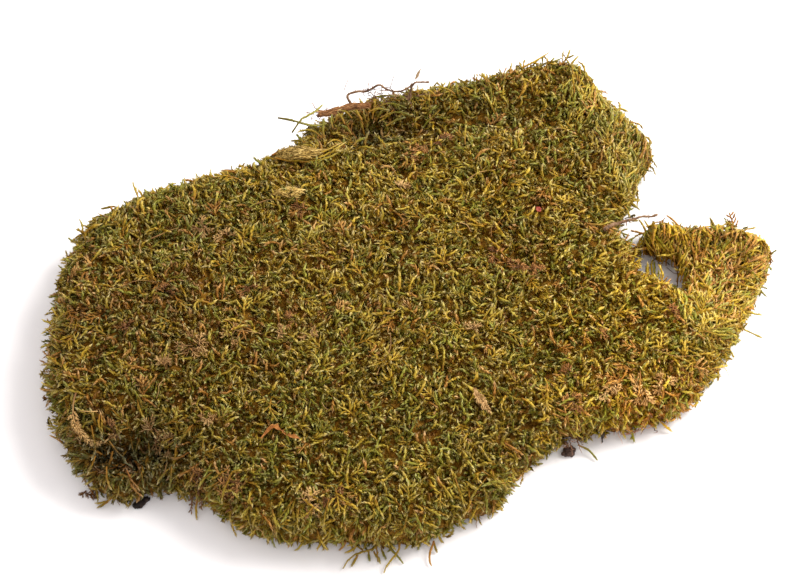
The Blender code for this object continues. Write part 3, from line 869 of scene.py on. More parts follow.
# Shoots that stick out by themselves, by kind: heights of the root and of the tip, pairs of side
# branches, and places from the root on
STRAYS = {
    "golden": (
        (4, 1.5, 0, ((-22.3, -108.5), (-22.7, -110.7), (-24.6, -112.2), (-27, -112.7))),
        (5, 1, 0, ((-6.4, -107.7), (-5.5, -109.1), (-5.7, -111.3), (-7.2, -113.9), (-9.9, -116.5),
            (-11.8, -118.7), (-12.2, -120.5))),
        (4, 2, 0, ((8.7, -106), (9.1, -106.9), (10.3, -108.5))),
        (6, 1.2, 0, ((32.1, -91.8), (31.6, -93.9), (30.2, -97.4))),
        (4, 1.2, 0, ((-118.7, -90.5), (-120, -91.4), (-122.8, -92.2), (-125.7, -91.9))),
        (5, 1, 0, ((-84.4, -91.8), (-86, -92.9), (-86.1, -94.9), (-85.7, -98.5))),
        (18, 20, 0, ((-116.2, 39.1), (-117.4, 42.2), (-118.4, 44.5), (-119.1, 46.3))),
        (18, 19, 0, ((-116.2, 39.1), (-115.4, 39.8), (-114.3, 40.4))),
        (19, 21, 0, ((-109.8, 38.9), (-110.3, 40.3), (-110.4, 42.2))),
        (20, 21, 0, ((-106.4, 40.8), (-104.6, 44.3), (-102.8, 45.4), (-101.1, 45.5))),
        (30, 31, 0, ((9.4, 84.4), (6.8, 87.2), (4.3, 85.9))),
        (26, 28, 0, ((33, 94.8), (30.4, 96.7), (28.7, 97.1))),
        (21, 24, 1, ((44.9, 104), (46.7, 105.5), (50.2, 106.9), (53.3, 108.2), (56.2, 110.1),
            (59.2, 112.1))),
        (17, 18, 0, ((73.3, 102.6), (74.7, 104.6), (75.8, 107.7), (75.4, 110.5), (72.9, 111.9))),
        (15, 16, 0, ((90.1, 86.8), (90.2, 89.1), (89.9, 91.4))),
        (15, 14, 0, ((88.4, 87.8), (90.7, 89), (93.4, 88.2))),
        (13, 13, 0, ((95.2, 74.3), (96.2, 76.5), (97.5, 79.1))),
        (13, 12, 0, ((96.4, 72.2), (99.7, 75.5), (102.3, 75.2), (103.3, 73.3), (102, 70.3))),
        (12, 9, 0, ((96.7, 63), (98.6, 62.9), (99.7, 61.2), (99.8, 58.3))),
        (12, 10, 0, ((92.6, 59.4), (94.4, 58), (96.9, 55))),
        (12, 11, 0, ((90.3, 43.5), (92.9, 43), (96, 43.6))),
        (12, 10, 0, ((89.2, 39.9), (90.6, 39.1), (91.4, 36.2))),
        (8, 11, 0, ((126.9, 26.4), (126.1, 29.5), (125.7, 32))),
        (7, 9, 0, ((99.2, 28), (97.7, 31.9), (96, 34.5))),
        (7, 9, 0, ((100.9, 27), (99.8, 31.4), (98.1, 34.3))),
        (7, 9, 0, ((103.8, 26), (102.7, 30.4), (101.9, 33.8))),
        (8, 9, 0, ((116.7, 25.4), (118.2, 28.6), (118.8, 31.8))),
        (8, 9, 0, ((121.7, 24.9), (122.8, 28.1), (122.6, 31.3))),
        (8, 8, 0, ((144.3, 22.4), (145.9, 25.4), (146.6, 27.9))),
        (7, 6, 0, ((145.7, 17.1), (147.6, 18.9), (149.3, 21.7))),
        (5, 1.5, 0, ((98.3, -58), (100.4, -59.3), (103, -60.7))),
        (28, 30, 0, ((-22.3, 73.2), (-24.4, 76.7), (-25.3, 79.1))),
        (26, 28, 0, ((-29.4, 61.2), (-31.5, 63.3), (-34.1, 63.9), (-36.5, 61.3))),
        (8, 7, 0, ((143.6, 10.7), (145.5, 8), (146.1, 4.5))),
        (26, 27, 0, ((-50, 55), (-43.2, 53.9), (-37.3, 55.7), (-33.2, 59.1), (-29, 62.5))),
        (26, 27, 0, ((-52.6, 57.1), (-44.9, 55.4), (-39.1, 57.2), (-34.4, 60.1), (-31.1, 62))),
        (25.5, 26, 0, ((-58.5, 55.4), (-53.4, 53.7), (-48.3, 54.1), (-43.2, 52.5))),
        (19, 14, 1, ((-83.5, -84), (-79.6, -86.6), (-75, -88.4), (-71.3, -88.5))),
        (18, 14, 1, ((-85, -86.9), (-80.7, -88.9), (-76.1, -91.6), (-72.6, -93.6))),
        (22, 22, 0, ((-115.1, -50.4), (-112.4, -49.5), (-109.7, -48.6))),
    ),
    "olive": (
        (5, 1.2, 1, ((-12.2, -106.9), (-12.6, -109.1), (-13.8, -111.4), (-15.7, -112.5), (-19.6, -112.7),
            (-22.7, -113.1), (-25.4, -114.4), (-27.3, -117.1), (-28, -119.1))),
        (2, 1, 0, ((-22.3, -113.9), (-23.4, -115.8), (-24.6, -117.8))),
        (2, 1, 0, ((-16.1, -112.3), (-15.7, -113.8), (-14.2, -114.5), (-13.8, -116.4))),
        (5, 2, 0, ((-18.1, -107.3), (-18.8, -109.2), (-20, -111))),
        (5, 1, 0, ((-42.9, -106.9), (-43.2, -108.9), (-44.4, -109.8), (-45.2, -111.4), (-46.4, -111.5))),
        (3, 1.2, 0, ((7.1, -108.5), (7.5, -110.2), (8.3, -112))),
        (5, 1.5, 0, ((25.2, -96), (25.3, -96.5), (24.6, -97.5))),
        (6, 4, 0, ((32.7, -90.9), (33.9, -91.4), (35.3, -92.2))),
        (3, 1, 0, ((-120.7, -92.2), (-122.4, -92.6), (-124.8, -93.5))),
        (10, 8, 2, ((-138.4, -67.4), (-140.4, -64.4), (-143, -62.4), (-146.4, -61.4))),
        (17, 17, 0, ((-126.3, 36.5), (-127.6, 36.5), (-129.6, 35.7), (-131.8, 35.4))),
        (16, 16, 0, ((-129.7, 29.6), (-131, 30), (-133.1, 29.6), (-134.3, 29.1))),
        (14, 15, 0, ((-139.5, 23.2), (-139.4, 27), (-139.9, 29.2), (-140.9, 31))),
        (13, 12, 0, ((-142.7, 10.6), (-143.8, 12.7), (-145.4, 15.4), (-146, 17.5))),
        (24, 23, 0, ((-58.6, 55.4), (-61.2, 56.7), (-64.4, 56.7))),
        (27, 27, 0, ((-39.2, 64.6), (-41, 67.2), (-44, 69), (-47.4, 69), (-49.5, 67.7))),
        (24, 23, 0, ((-46.1, 64.6), (-48.8, 65.8), (-52.3, 66))),
        (29, 31, 1, ((17.6, 86.2), (15.5, 87.8), (11.9, 88.9), (8.1, 88.6))),
        (24, 27, 0, ((41.9, 98.5), (41.9, 100.7), (42.7, 103.8))),
        (19, 22, 1, ((64.6, 108.8), (66.8, 110.7), (68.1, 112.7), (69, 115.3))),
        (18, 19, 0, ((68.7, 109.5), (70.5, 111.5), (72.8, 114))),
        (16, 15, 0, ((76.5, 94.6), (77.5, 97.2), (78.6, 99.7))),
        (14, 14, 1, ((90.2, 78.9), (91.6, 80.5), (93.8, 83.7))),
        (12, 11, 0, ((98, 68.2), (100.2, 68), (102.5, 69.7))),
        (12, 11, 0, ((92.2, 53.2), (93.5, 52.5), (94.4, 51.3))),
        (12, 10, 0, ((90.3, 42.5), (93.3, 41.6), (95.8, 39.7))),
        (10, 8, 0, ((82.6, 24.7), (85.3, 25), (88, 26.4))),
        (7, 5, 0, ((107.1, 20.1), (102.2, 21.5), (97.8, 23.1), (92.4, 23.3))),
        (8, 11, 0, ((114.4, 27.9), (111.8, 30.5), (109.2, 32.5))),
        (8, 12, 0, ((129.5, 26.4), (127.8, 29.7), (125.7, 33.4))),
        (7, 9, 0, ((107.5, 25), (106.8, 29.4), (106.1, 33))),
        (8, 10, 0, ((110.6, 23.4), (109.5, 26.8), (108.7, 29.7))),
        (8, 9, 0, ((139.8, 23.4), (141.2, 25.6), (141.4, 28.3))),
        (3, 2.5, 0, ((100.5, 8.7), (100.4, 12.8), (100.2, 16.7), (101.3, 19.3))),
        (3, 2, 0, ((99.2, 8.7), (98.3, 12.4), (98.1, 15.7))),
        (5, 1.5, 0, ((82.8, -61.1), (83.4, -62.4), (84.3, -63.4))),
        (20, 21, 1, ((-15.8, 47.4), (-10.7, 49.6), (-5.6, 52.3))),
        (29, 30, 0, ((-19.7, 76.7), (-15.5, 78.4), (-11.2, 77))),
        (29, 31, 0, ((-26.5, 73.6), (-28.7, 76), (-31.6, 76.3))),
        (28, 30, 0, ((-29.5, 71.2), (-31.2, 74.6), (-32.5, 76))),
        (9, 7, 0, ((145, 14), (146.9, 10.7), (147.1, 6.9))),
        (26, 27, 0, ((-48.3, 53), (-41.5, 53.3), (-35.6, 54.6), (-31.4, 57.9))),
        (17, 12, 1, ((-86.1, -89), (-82.2, -91.6), (-78.1, -92.6), (-74.2, -94.8))),
        (20, 19, 0, ((-125, -72.1), (-121.4, -73.7), (-117.6, -73.1), (-113.9, -71.2))),
    ),
    "green": (
        (2, 1, 0, ((-18.1, -112.3), (-18.1, -113.7), (-17.7, -115.6))),
        (2.5, 1, 0, ((-13.4, -110.8), (-12.6, -113), (-11.5, -114.8))),
        (5, 1, 0, ((-11.5, -108.1), (-10.7, -110.6), (-9.1, -112.7), (-6.8, -114.3), (-4.9, -116.8))),
        (5, 2, 0, ((-11.1, -106.9), (-10.7, -108.7), (-9.5, -111))),
        (5, 1, 0, ((17.8, -96.8), (16.4, -98.8), (14.7, -100.8), (13.4, -102.6))),
        (5, 1.5, 0, ((19.7, -96.8), (19, -98), (17.8, -100.5), (20, -100.8))),
        (11, 9, 0, ((-145.3, -43), (-146.8, -41.3), (-148.3, -40.1), (-150.4, -39.6))),
        (12, 11, 0, ((-147.2, -26.2), (-149, -25), (-150.8, -24.7))),
        (12, 11, 0, ((-145.8, -36.3), (-147.3, -34.2), (-148.8, -32.1))),
        (14, 13, 0, ((-140.4, 19.5), (-141.5, 20.3), (-143.7, 21.7), (-145.4, 23.2))),
        (22, 22, 0, ((-60.4, 53.7), (-62.9, 53.7), (-65.1, 54.7), (-66.8, 56.2), (-68.2, 58.1))),
        (25, 25, 0, ((-46.9, 63.4), (-48.5, 65.5), (-49.8, 67.3))),
        (27, 31, 0, ((-38.3, 64.6), (-38.8, 67.3), (-38.3, 71.6))),
        (28, 31, 0, ((18.9, 86.9), (18.4, 88.5), (18, 91.2))),
        (19, 21, 2, ((53.9, 106.6), (55.7, 108), (57.5, 109.5), (62.3, 110), (65.3, 111.6))),
        (18, 18, 2, ((62.9, 109.5), (67.3, 109), (70, 109.5), (72.7, 110.3))),
        (17, 16, 0, ((74.1, 101.5), (76, 104.1), (78.3, 103.9))),
        (11, 9, 2, ((81.9, 28.5), (85.4, 29), (87.9, 27.8), (90.5, 27.3))),
        (8, 12, 0, ((128.6, 26.4), (127.5, 29.6), (126.2, 32.2), (125.3, 33.9))),
        (8, 11, 0, ((130.2, 25.4), (128.6, 28.5), (126.9, 31))),
        (5, 3, 1, ((142.5, 7.1), (143.7, 5.5), (145.5, 2.6), (147.2, 1))),
        (3, 2.5, 0, ((101.3, 8.2), (101.6, 12.8), (101.6, 17.9))),
        (5, 1, 0, ((64.9, -68.5), (66.9, -68.8), (69.8, -69.5), (72.5, -73.2))),
        (5, 1, 1, ((84.9, -60.6), (87, -61.9), (87.9, -64.9))),
        (30, 31, 0, ((-21.5, 80.2), (-18, 83.1), (-13.3, 84.4), (-8.6, 83.7))),
        (29, 30, 1, ((-16.3, 78.8), (-12, 81.2), (-7.3, 80.4), (-3.5, 78.1))),
        (28, 29, 1, ((-14.6, 74.3), (-9.9, 77.2), (-5.2, 76.9), (-0.9, 74.6))),
        (27, 29, 0, ((-12, 70.8), (-7.8, 73.2), (-4.3, 73.6))),
        (28, 29, 0, ((-34.6, 69.1), (-35.5, 72.4), (-35.1, 75.1))),
        (27, 28, 0, ((-26.5, 66.2), (-28.2, 68.9), (-30.3, 70.1))),
    ),
    "brown": (
        (5, 1.2, 0, ((-25.4, -107.3), (-27, -108.8), (-27.8, -110.4), (-29.3, -111.5))),
        (4, 1, 0, ((7.1, -108.9), (6.7, -110.7), (5.6, -112.1), (5.2, -115.9), (5.9, -117.6))),
        (9, 7, 0, ((-138.2, -70.8), (-141, -67.8), (-145, -65.4))),
        (21, 21, 0, ((-92.3, 45.7), (-93.6, 46.6), (-95.7, 47.2), (-97.4, 47.1))),
        (7, 8, 0, ((100.1, 28), (95.9, 29.4), (92.3, 30))),
        (7, 6, 0, ((105.5, 21.6), (99.7, 22.7), (95.5, 21.7), (91.3, 21.7))),
        (8, 12, 0, ((114, 28.9), (112.4, 31.6), (109.8, 33.7), (107.4, 35))),
        (8, 13, 4, ((136.4, 27.4), (135.7, 30.3), (134.7, 33.3), (133.6, 35.8))),
        (4, 2, 0, ((139.7, 2.3), (142.3, 1.5), (145.5, 3))),
        (25, 26, 0, ((-60.3, 57.2), (-57, 59.1), (-52.7, 59.3), (-48.4, 58.1))),
    ),
}


def make_strays(rng):
    """Single shoots that stick out of the edges, joined by kind."""
    for kind, rows in STRAYS.items():
        batch = Batch()
        paths = []
        for high, low, _, route in rows:
            heights = np.linspace(high, low, len(route)).round(1)
            paths.append(through(np.column_stack([route, heights]), 7))
        paths = np.array(paths)
        taper = np.array([0.8, 0.9, 1, 1, 0.95, 0.8, 0.5])
        radii = rng.uniform(0.4, 0.56, len(rows))[:, None] * taper
        tints = rng.uniform(0.3, 0.75, len(rows))
        batch.tubes(paths, radii * 0.85, 5, 0.2, tints, rng)
        batch.shoots(paths, radii, 26, 1.35, tints, rng, CLOSED_LEAVES)
        for pairs in (1, 2, 4):
            chosen = np.array([row[2] == pairs for row in rows])
            if chosen.any():
                made, shades = side_branches(paths[chosen], UP, tints[chosen], pairs, 4.5, 0.5, rng)
                batch.shoots(made, 0.4, 10, 1.2, shades, rng, CLOSED_LEAVES)
        batch.build(f"stray_fronds_{kind}", "moss_" + kind)


def walls(normals, middles):
    """Faces of the walls, all round."""
    return (np.abs(normals[:, 2]) < 0.75) & (middles[:, 2] > 1.2) & ~in_gaps(middles)


def make_fringe(rng):
    """Shoots that stand out of the walls and droop, joined by kind."""
    roots, normals = MOSS.scatter(1500, 2.0, rng, walls)
    total = len(roots)
    normals = unit(normals * [1, 1, 0.35] + rng.normal(0, 0.25, (total, 3)))
    lengths = rng.uniform(5, 9.5, total)
    tips = roots + normals * (lengths * rng.uniform(0.0, 0.36, total))[:, None]
    tips += normals * np.where(at_back_left(roots), 1.2, 0.0)[:, None]
    tips[:, 2] -= rng.uniform(0.0, 0.25, total) * lengths
    tips[:, 2] = np.maximum(tips[:, 2], 0.8)
    leans = (rng.uniform(0.0, 0.5, total), rng.uniform(0.3, 1.1, total))
    heading = rng.uniform(0, 2 * math.pi, total)
    paths = grow(tips, normals, lengths, 5, leans, heading, rng.normal(0, 0.8, total))
    paths[:, :, 2] = np.maximum(paths[:, :, 2], 0.6)
    tints = np.clip(rng.normal(0.5, 0.18, total), 0, 1)
    build_by_kind("fringe", roots, paths, 0.48 * FROND_TAPER, tints, 14, 1.6, rng)


def shoulders(normals, middles):
    """Faces where the top turns down into the walls."""
    slope = normals[:, 2]
    return (slope > 0.1) & (slope < 0.88) & (middles[:, 2] > 3) & ~in_gaps(middles)


def make_rim_tufts(rng):
    """Long shoots that reach out over the rim in uneven tufts, joined by kind."""
    places, normals = MOSS.scatter(520, 2.5, rng, shoulders)
    total = len(places)
    outward = unit(normals * [1, 1, 0] + 1e-6)
    ragged = 0.2 + blobs(places, TUFT_SPOTS)
    tufted = np.clip(0.5 + 0.8 * waves(places, 8.0, 61, 6), 0.0, 1.3)
    reach = 1.5 + 2.0 * normals[:, 2] + (1.2 + 3.2 * ragged) * tufted * rng.uniform(0.5, 1.1, total)
    tips = places + outward * reach[:, None]
    tips[:, 2] = np.maximum(tips[:, 2] - rng.uniform(-1.0, 3.5, total), 0.8)
    along = unit(outward + [0, 0, 0.12] + rng.normal(0, 0.3, (total, 3)))
    leans = (rng.uniform(0.0, 0.4, total), rng.uniform(0.2, 0.9, total))
    heading = rng.uniform(0, 2 * math.pi, total)
    lengths = rng.uniform(7, 12, total)
    paths = grow(tips, along, lengths, 5, leans, heading, rng.normal(0, 0.8, total))
    paths[:, :, 2] = np.maximum(paths[:, :, 2], 0.6)
    tints = np.clip(rng.normal(0.5, 0.2, total), 0, 1)
    build_by_kind("rim_tufts", places, paths, 0.5 * FROND_TAPER, tints, 14, 1.7, rng)


def on_flap(normals, middles):
    """Faces of the top and the walls of the thin flap."""
    return outside(normals, middles) & (middles[:, 0] + 0.35 * middles[:, 1] > 104) \
        & (middles[:, 1] > -24)


def make_flap_fronds(rng):
    """Long shoots that lie combed over the thin flap, fanning out from a place before it."""
    places, normals = MOSS.scatter(1500, 1.9, rng, on_flap)
    total = len(places)
    tips = places + normals * rng.uniform(0.0, 1.6, total)[:, None]
    lengths = rng.uniform(7.5, 14, total)
    fan_x, fan_y = 120, -28
    away = np.arctan2(places[:, 1] - fan_y, places[:, 0] - fan_x)
    heading = math.pi - away + rng.normal(0, 0.35, total)
    leans = (rng.uniform(0.6, 1.2, total), rng.uniform(1.1, 1.6, total))
    paths = grow(tips, normals, lengths, 5, leans, heading, rng.normal(0, 0.5, total))
    tints = np.clip(rng.normal(0.6, 0.22, total), 0, 1)
    build_by_kind("flap_fronds", places, paths, 0.52 * FROND_TAPER, tints, 16, 1.7, rng,
                  angles=CLOSED_LEAVES)


# Withered sprigs on the top: place, how far they reach, number of stems, and whether pale
WITHERED = (
    ((33, 10), 4.5, 5, False), ((43, 5), 4.5, 6, False), ((50, 0.5), 4.0, 4, False),
    ((-87.5, -37), 6.5, 9, True), ((-98, -45), 4.0, 5, True), ((-72, -31), 4.5, 3, True),
    ((-43, -30), 3.5, 3, True), ((-54.5, -31), 4.0, 3, True), ((-67, -10.5), 3.5, 3, False),
    ((-99.5, -13.5), 3.5, 3, False), ((-107, -54.5), 3.0, 3, False), ((-114.5, -29), 3.5, 4, False),
    ((-49.5, -25), 3.0, 3, False), ((-87, 18), 5.5, 5, True), ((-78, 13), 3.5, 4, True),
    ((3, 62), 4.0, 4, False), ((12, 66), 4.0, 4, False), ((-40, -101), 5.0, 6, True),
    ((-30, -100), 5.0, 5, False), ((-70, -94), 6.0, 9, False), ((90, -52), 6.0, 6, True),
    ((-102.5, -70.5), 5.0, 5, True), ((-96, -74.5), 4.0, 5, True), ((-79.5, -68.5), 4.0, 4, True),
    ((-130, -87), 3.5, 4, False), ((-119, -70.5), 3.5, 3, False), ((-85, -90), 5.0, 6, False),
    ((79, -52), 5.0, 5, True), ((99, -50), 4.5, 5, True), ((23, -26), 3.5, 3, True),
    ((61, -45), 3.5, 3, False), ((74, -26), 3.0, 3, False), ((-48, 29), 3.5, 3, False),
    ((-3, 57), 3.5, 4, False), ((-5, 40), 3.0, 3, True),
    ((104, -15), 3.5, 4, False), ((128, 4), 5.0, 6, False), ((62, -58), 5.0, 5, False),
)

# Pale threads that lie on the top, as places along them
THREADS = (
    ((-10, -29.7), (-9.4, -34.3), (-9.6, -38.3), (-12, -41.9), (-13.9, -45), (-15.1, -49.4)),
    ((-108, 12.8), (-103.5, 14.8), (-100.8, 16.5), (-97, 17.4)),
    ((-66, 30), (-60, 33), (-54, 32)), ((22, 44), (27, 48), (34, 49)),
    ((-120, -12), (-112, -8), (-104, -9)), ((96, -34), (104, -38), (112, -37)),
)


def laid(points, lift):
    """Places on the top of the mat, lifted a little."""
    return np.array([(x, y, MOSS.drop(x, y) + lift) for x, y in points])


def make_threads(batch, rng):
    """Add the pale threads, and loose ones strewn all over, to the batch."""
    lines = np.array([through(laid(points, 1.0), 8) for points in THREADS])
    count = 46
    starts, normals = MOSS.scatter(count, 5.0, rng, outside)
    flat = level_directions(count, rng)
    flat = unit(flat - (flat * normals).sum(axis=1, keepdims=True) * normals)
    loose = wander(starts + normals * 0.8, flat, rng.uniform(4, 9, count), 8, 0.3, rng)
    lines = np.concatenate([lines, loose])
    radii = rng.uniform(0.14, 0.26, len(lines))[:, None] * np.linspace(1, 0.5, 8)
    radii[:len(THREADS)] *= 1.3
    batch.tubes(lines, radii, 3, 0.2, rng.rand(len(lines)), rng)


def make_withered(rng):
    """Dead feathery sprigs and pale threads that lie among the shoots."""
    for pale, name, material in ((True, "pale_sprigs", "dead_sprig"),
                                 (False, "brown_sprigs", "withered")):
        batch = Batch()
        for place, reach, stems, light in WITHERED:
            if light != pale:
                continue
            flat = level_directions(stems, rng)[:, :2]
            far = reach * rng.uniform(0.5, 1.2, stems)
            starts = np.array(place) + rng.normal(0, 0.25 * reach, (stems, 2))
            ends = starts + flat * far[:, None]
            paths = np.array([through(laid((a, (a + b) / 2, b), 0.6), 5)
                              for a, b in zip(starts, ends)])
            paths[:, 1:-1] += rng.normal(0, 0.4, (stems, 3, 3))
            tints = rng.rand(stems)
            batch.shoots(paths, 0.26, 10, 1.1, tints, rng)
            made, shades = side_branches(paths, UP, tints, 3, 3.0, 0.4, rng)
            batch.shoots(made, 0.22, 6, 0.9, shades, rng)
        if pale:
            make_threads(batch, rng)
        batch.build(name, material)


def make_red_fleck(rng):
    """Scrap of red leaf, crumpled, on the top near the notch."""
    rows, columns = 9, 7
    across = np.linspace(-1, 1, columns)[None, :] * np.sin(np.linspace(0.3, 2.6, rows))[:, None]
    along = np.repeat(np.linspace(-1, 1, rows)[:, None], columns, axis=1)
    flat = np.stack([across * 1.1, along * 1.5, 0.4 * across ** 2 - 0.3 * along], axis=2)
    over = flat + laid([(51.7, 30.2)], 0.3) + rng.normal(0, 0.12, (rows, columns, 3))
    thing = sheet_object("red_leaf_fleck", over.transpose(1, 0, 2), 0.15)
    shades = ((104, 34, 22), (142, 56, 38), (176, 92, 64))
    thing.data.materials.append(leaf_material("red_leaf", shades))
    own(thing)


# ---------------------------------------------------------------- litter


class Spine:
    """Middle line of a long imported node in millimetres, and its reach to each side."""

    def __init__(self, name, count):
        """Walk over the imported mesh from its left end."""
        shape = bmesh.new()
        shape.from_mesh(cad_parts[name].data)
        bmesh.ops.remove_doubles(shape, verts=shape.verts, dist=0.01 * MM)
        shape.verts.ensure_lookup_table()
        points = np.array([vert.co[:] for vert in shape.verts]) / MM
        one = self.walk(shape, 0).argmax()
        other = self.walk(shape, one).argmax()
        first = min((one, other), key=lambda i: points[i, 0])
        walked = self.walk(shape, first)
        shape.free()
        bin_length = 2.2
        bins = max(4, int(walked.max() / bin_length))
        which = np.minimum((walked / walked.max() * bins).astype(int), bins - 1)
        used = np.unique(which)
        middles = np.array([points[which == k].mean(axis=0) for k in used])
        middles[0] = (middles[0] + 2 * points[first]) / 3
        middles[-1] = (middles[-1] + 2 * points[walked.argmax()]) / 3
        steps = distances(middles)
        across = unit(np.cross(UP, np.gradient(middles, axis=0)))
        reach = [np.abs((points[which == k] - middle) @ side).max()
                 for k, middle, side in zip(used, middles, across)]
        places = np.linspace(0, steps[-1], count)
        self.length = steps[-1]
        self.path = read_along(middles, steps, places)
        self.half = np.interp(places, steps, reach)
        self.aim()

    def aim(self):
        """Work out the directions along the middle line and to its side."""
        self.ahead = unit(np.gradient(self.path, axis=0))
        self.side = unit(np.cross(UP, self.ahead))

    def follow(self, route, half):
        """Take a new middle line, and half widths that are spread evenly along it."""
        self.path = through(route, len(self.path))
        rows = np.linspace(0, 1, len(self.path))
        self.half = np.interp(rows, np.linspace(0, 1, len(half)), half)
        self.aim()

    @staticmethod
    def walk(shape, first):
        """Shortest way over the edges from one point to every other."""
        ways = np.full(len(shape.verts), np.inf)
        ways[first] = 0.0
        queue = [(0.0, int(first))]
        while queue:
            way, index = heapq.heappop(queue)
            for edge in shape.verts[index].link_edges:
                other = edge.other_vert(shape.verts[index])
                longer = way + edge.calc_length() / MM
                if longer < ways[other.index] - 1e-9:
                    ways[other.index] = longer
                    heapq.heappush(queue, (longer, other.index))
        return ways

    def place(self, along, across, lift):
        """Points at parts of the length and of the half width, lifted straight up."""
        last = len(self.path) - 1
        at = np.clip(along, 0, 1) * last
        rows = np.arange(last + 1)
        beyond = (along - np.clip(along, 0, 1)) * self.length
        half = np.interp(at, rows, self.half)
        spot = read_along(self.path, rows, at) + read_along(self.ahead, rows, at) * beyond[..., None]
        spot += read_along(self.side, rows, at) * (across * half)[..., None]
        spot[..., 2] += lift
        return spot


def fibres(spine, count, rings, span, spread, lift, rng):
    """Paths of fibres that run along a spine, each over its own stretch."""
    start = rng.uniform(-0.1, 0.55, count)
    stop = start + rng.uniform(*span, count)
    first = rng.uniform(-1, 1, count) * spread
    last = first * 0.7 + rng.normal(0, 0.4, count)
    steps = np.linspace(0, 1, rings)
    along = start[:, None] + (stop - start)[:, None] * steps
    across = first[:, None] + (last - first)[:, None] * steps
    across = across + 0.22 * rng.normal(size=across.shape)
    height = rng.uniform(0, lift, count)[:, None] + 0.5 * lift * np.sin(math.pi * steps)
    return spine.place(along, across, height)


def wander(starts, directions, lengths, rings, wobble, rng):
    """Paths of rootlets that set out in the directions and lose their way."""
    paths = [starts]
    heading = unit(directions)
    for _ in range(rings - 1):
        heading = unit(heading + wobble * rng.normal(size=heading.shape))
        paths.append(paths[-1] + heading * (lengths / (rings - 1))[:, None])
    return np.stack(paths, axis=1)


def carve(name, material, levels, depth, grain, rng):
    """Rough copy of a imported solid, cut finer and broken up along its own grain.

    depth is how deep it is broken, grain how long and how wide the lumps are.
    """
    spine = Spine(name, 8)
    axis = unit(spine.path[-1] - spine.path[0])
    thing = mesh_object(name + "_surface", *node_arrays(name))
    shape = bmesh.new()
    shape.from_mesh(thing.data)
    bmesh.ops.remove_doubles(shape, verts=shape.verts, dist=0.01 * MM)
    for level in range(levels):
        bmesh.ops.subdivide_edges(shape, edges=shape.edges, cuts=1, use_grid_fill=True,
                                  smooth=0.5 if level == 0 else 0.0)
        bmesh.ops.triangulate(shape, faces=shape.faces)
    shape.normal_update()
    shift = Vector(rng.uniform(0, 50, 3))
    moves = []
    for vert in shape.verts:
        spot = np.array(vert.co[:]) / MM
        onward = spot @ axis
        place = Vector((spot - onward * axis) / grain[1] + axis * onward / grain[0]) + shift
        push = noise.noise(place) + 0.55 * noise.noise(place * 2.3) + 0.3 * noise.noise(place * 5.1)
        moves.append(vert.normal * (push * depth * MM))
    for vert, move in zip(shape.verts, moves):
        vert.co += move
        vert.co.z = max(vert.co.z, LOWEST * MM)
    shape.to_mesh(thing.data)
    shape.free()
    thing.data.materials.append(material)
    own(thing, name)


def make_wisp(name, count, shoots, rng):
    """Flattened tuft of dead, straw-coloured stems with a few leafy ones among them."""
    spine = Spine(name, 24)
    batch = Batch()
    paths = fibres(spine, count, 6, (0.35, 0.75), 0.95, 0.9, rng)
    radii = rng.uniform(0.12, 0.24, count)[:, None] * np.array([0.7, 1, 1, 0.9, 0.7, 0.4])
    batch.tubes(paths, radii, 3, 0.25, rng.rand(count), rng)
    paths = fibres(spine, shoots, 5, (0.3, 0.6), 0.9, 1.3, rng)
    batch.shoots(paths, 0.34, 14, 1.3, rng.rand(shoots), rng, (0.4, 0.35, 0.2))
    batch.build(name + "_stems", "dead_straw", name)


# Middle lines of the pale sprig, its thin branch, the orange shred and the leaf scrap
SPRIG = ((-132.4, -57.0), (-133.3, -60.2), (-133.6, -63.2), (-133.3, -66.2), (-131.8, -70.1),
         (-129.6, -73.1), (-127.1, -75.2), (-124.3, -76.2), (-121.5, -75.6), (-119.4, -73.6))
SPRIG_BRANCH = ((-130.7, -64.3), (-127.2, -64.7), (-123.7, -64.7))
SHRED = ((-59.6, -76.0), (-58.1, -73.8), (-56.3, -71.7), (-54.4, -70.8), (-52.4, -72.1),
         (-50.0, -73.8), (-47.7, -75.1), (-44.6, -75.5))
SCRAP = ((23.0, -53.7), (24.5, -57.2), (26.7, -60.3), (29.4, -63.8))


def make_sprig(rng):
    """Dead moss sprig: bleached, curled stem with feathery, crumpled side branches."""
    path = through(laid(SPRIG, 1.0), 12)
    path[:, 2] -= 0.35 * hollow_depth(path)
    path = path[None]
    tint = np.array([0.7])
    batch = Batch()
    batch.tubes(path, 0.3, 5, 0.3, tint, rng)
    for pairs, reach in ((11, 2.6), (10, 2.0), (9, 1.6)):
        made, shades = side_branches(path, UP, tint, pairs, reach, 0.4, rng)
        made[:, 1:, 2] += rng.uniform(-0.3, 0.7, (len(made), 1))
        batch.shoots(made, 0.28, 9, 1.1, shades, rng)
    thin = through(laid(SPRIG_BRANCH, 0.8), 6)[None]
    batch.tubes(thin, 0.24, 4, 0.3, tint, rng)
    count = 5
    ends = np.tile(path[0, -1], (count, 1))
    directions = rng.normal((1.0, 0.8, 0.25), 0.5, (count, 3))
    loose = wander(ends, directions, rng.uniform(3, 6.5, count), 5, 0.35, rng)
    batch.shoots(loose, 0.28, 12, 1.0, rng.rand(count), rng)
    batch.build("pale_dead_sprig_branches", "dead_sprig", "pale_dead_sprig", 0.5)


def make_scrap_ribs(rng):
    """Ribs of the torn leaf scrap, which stand out past its blade."""
    path = through(laid(SCRAP, 1.2), 6)[None]
    batch = Batch()
    batch.tubes(path, np.linspace(0.32, 0.2, 6), 4, 0.2, np.array([0.4]), rng)
    for _ in range(3):
        made, shades = side_branches(path, UP, np.array([0.5]), 8, 3.0, 0.35, rng)
        made[:, 1:, 2] += rng.uniform(0, 0.8, (len(made), 1))
        batch.tubes(made, (0.22, 0.2, 0.1), 3, 0.3, shades, rng)
    batch.build("leaf_scrap_ribs", "dry_leaf")


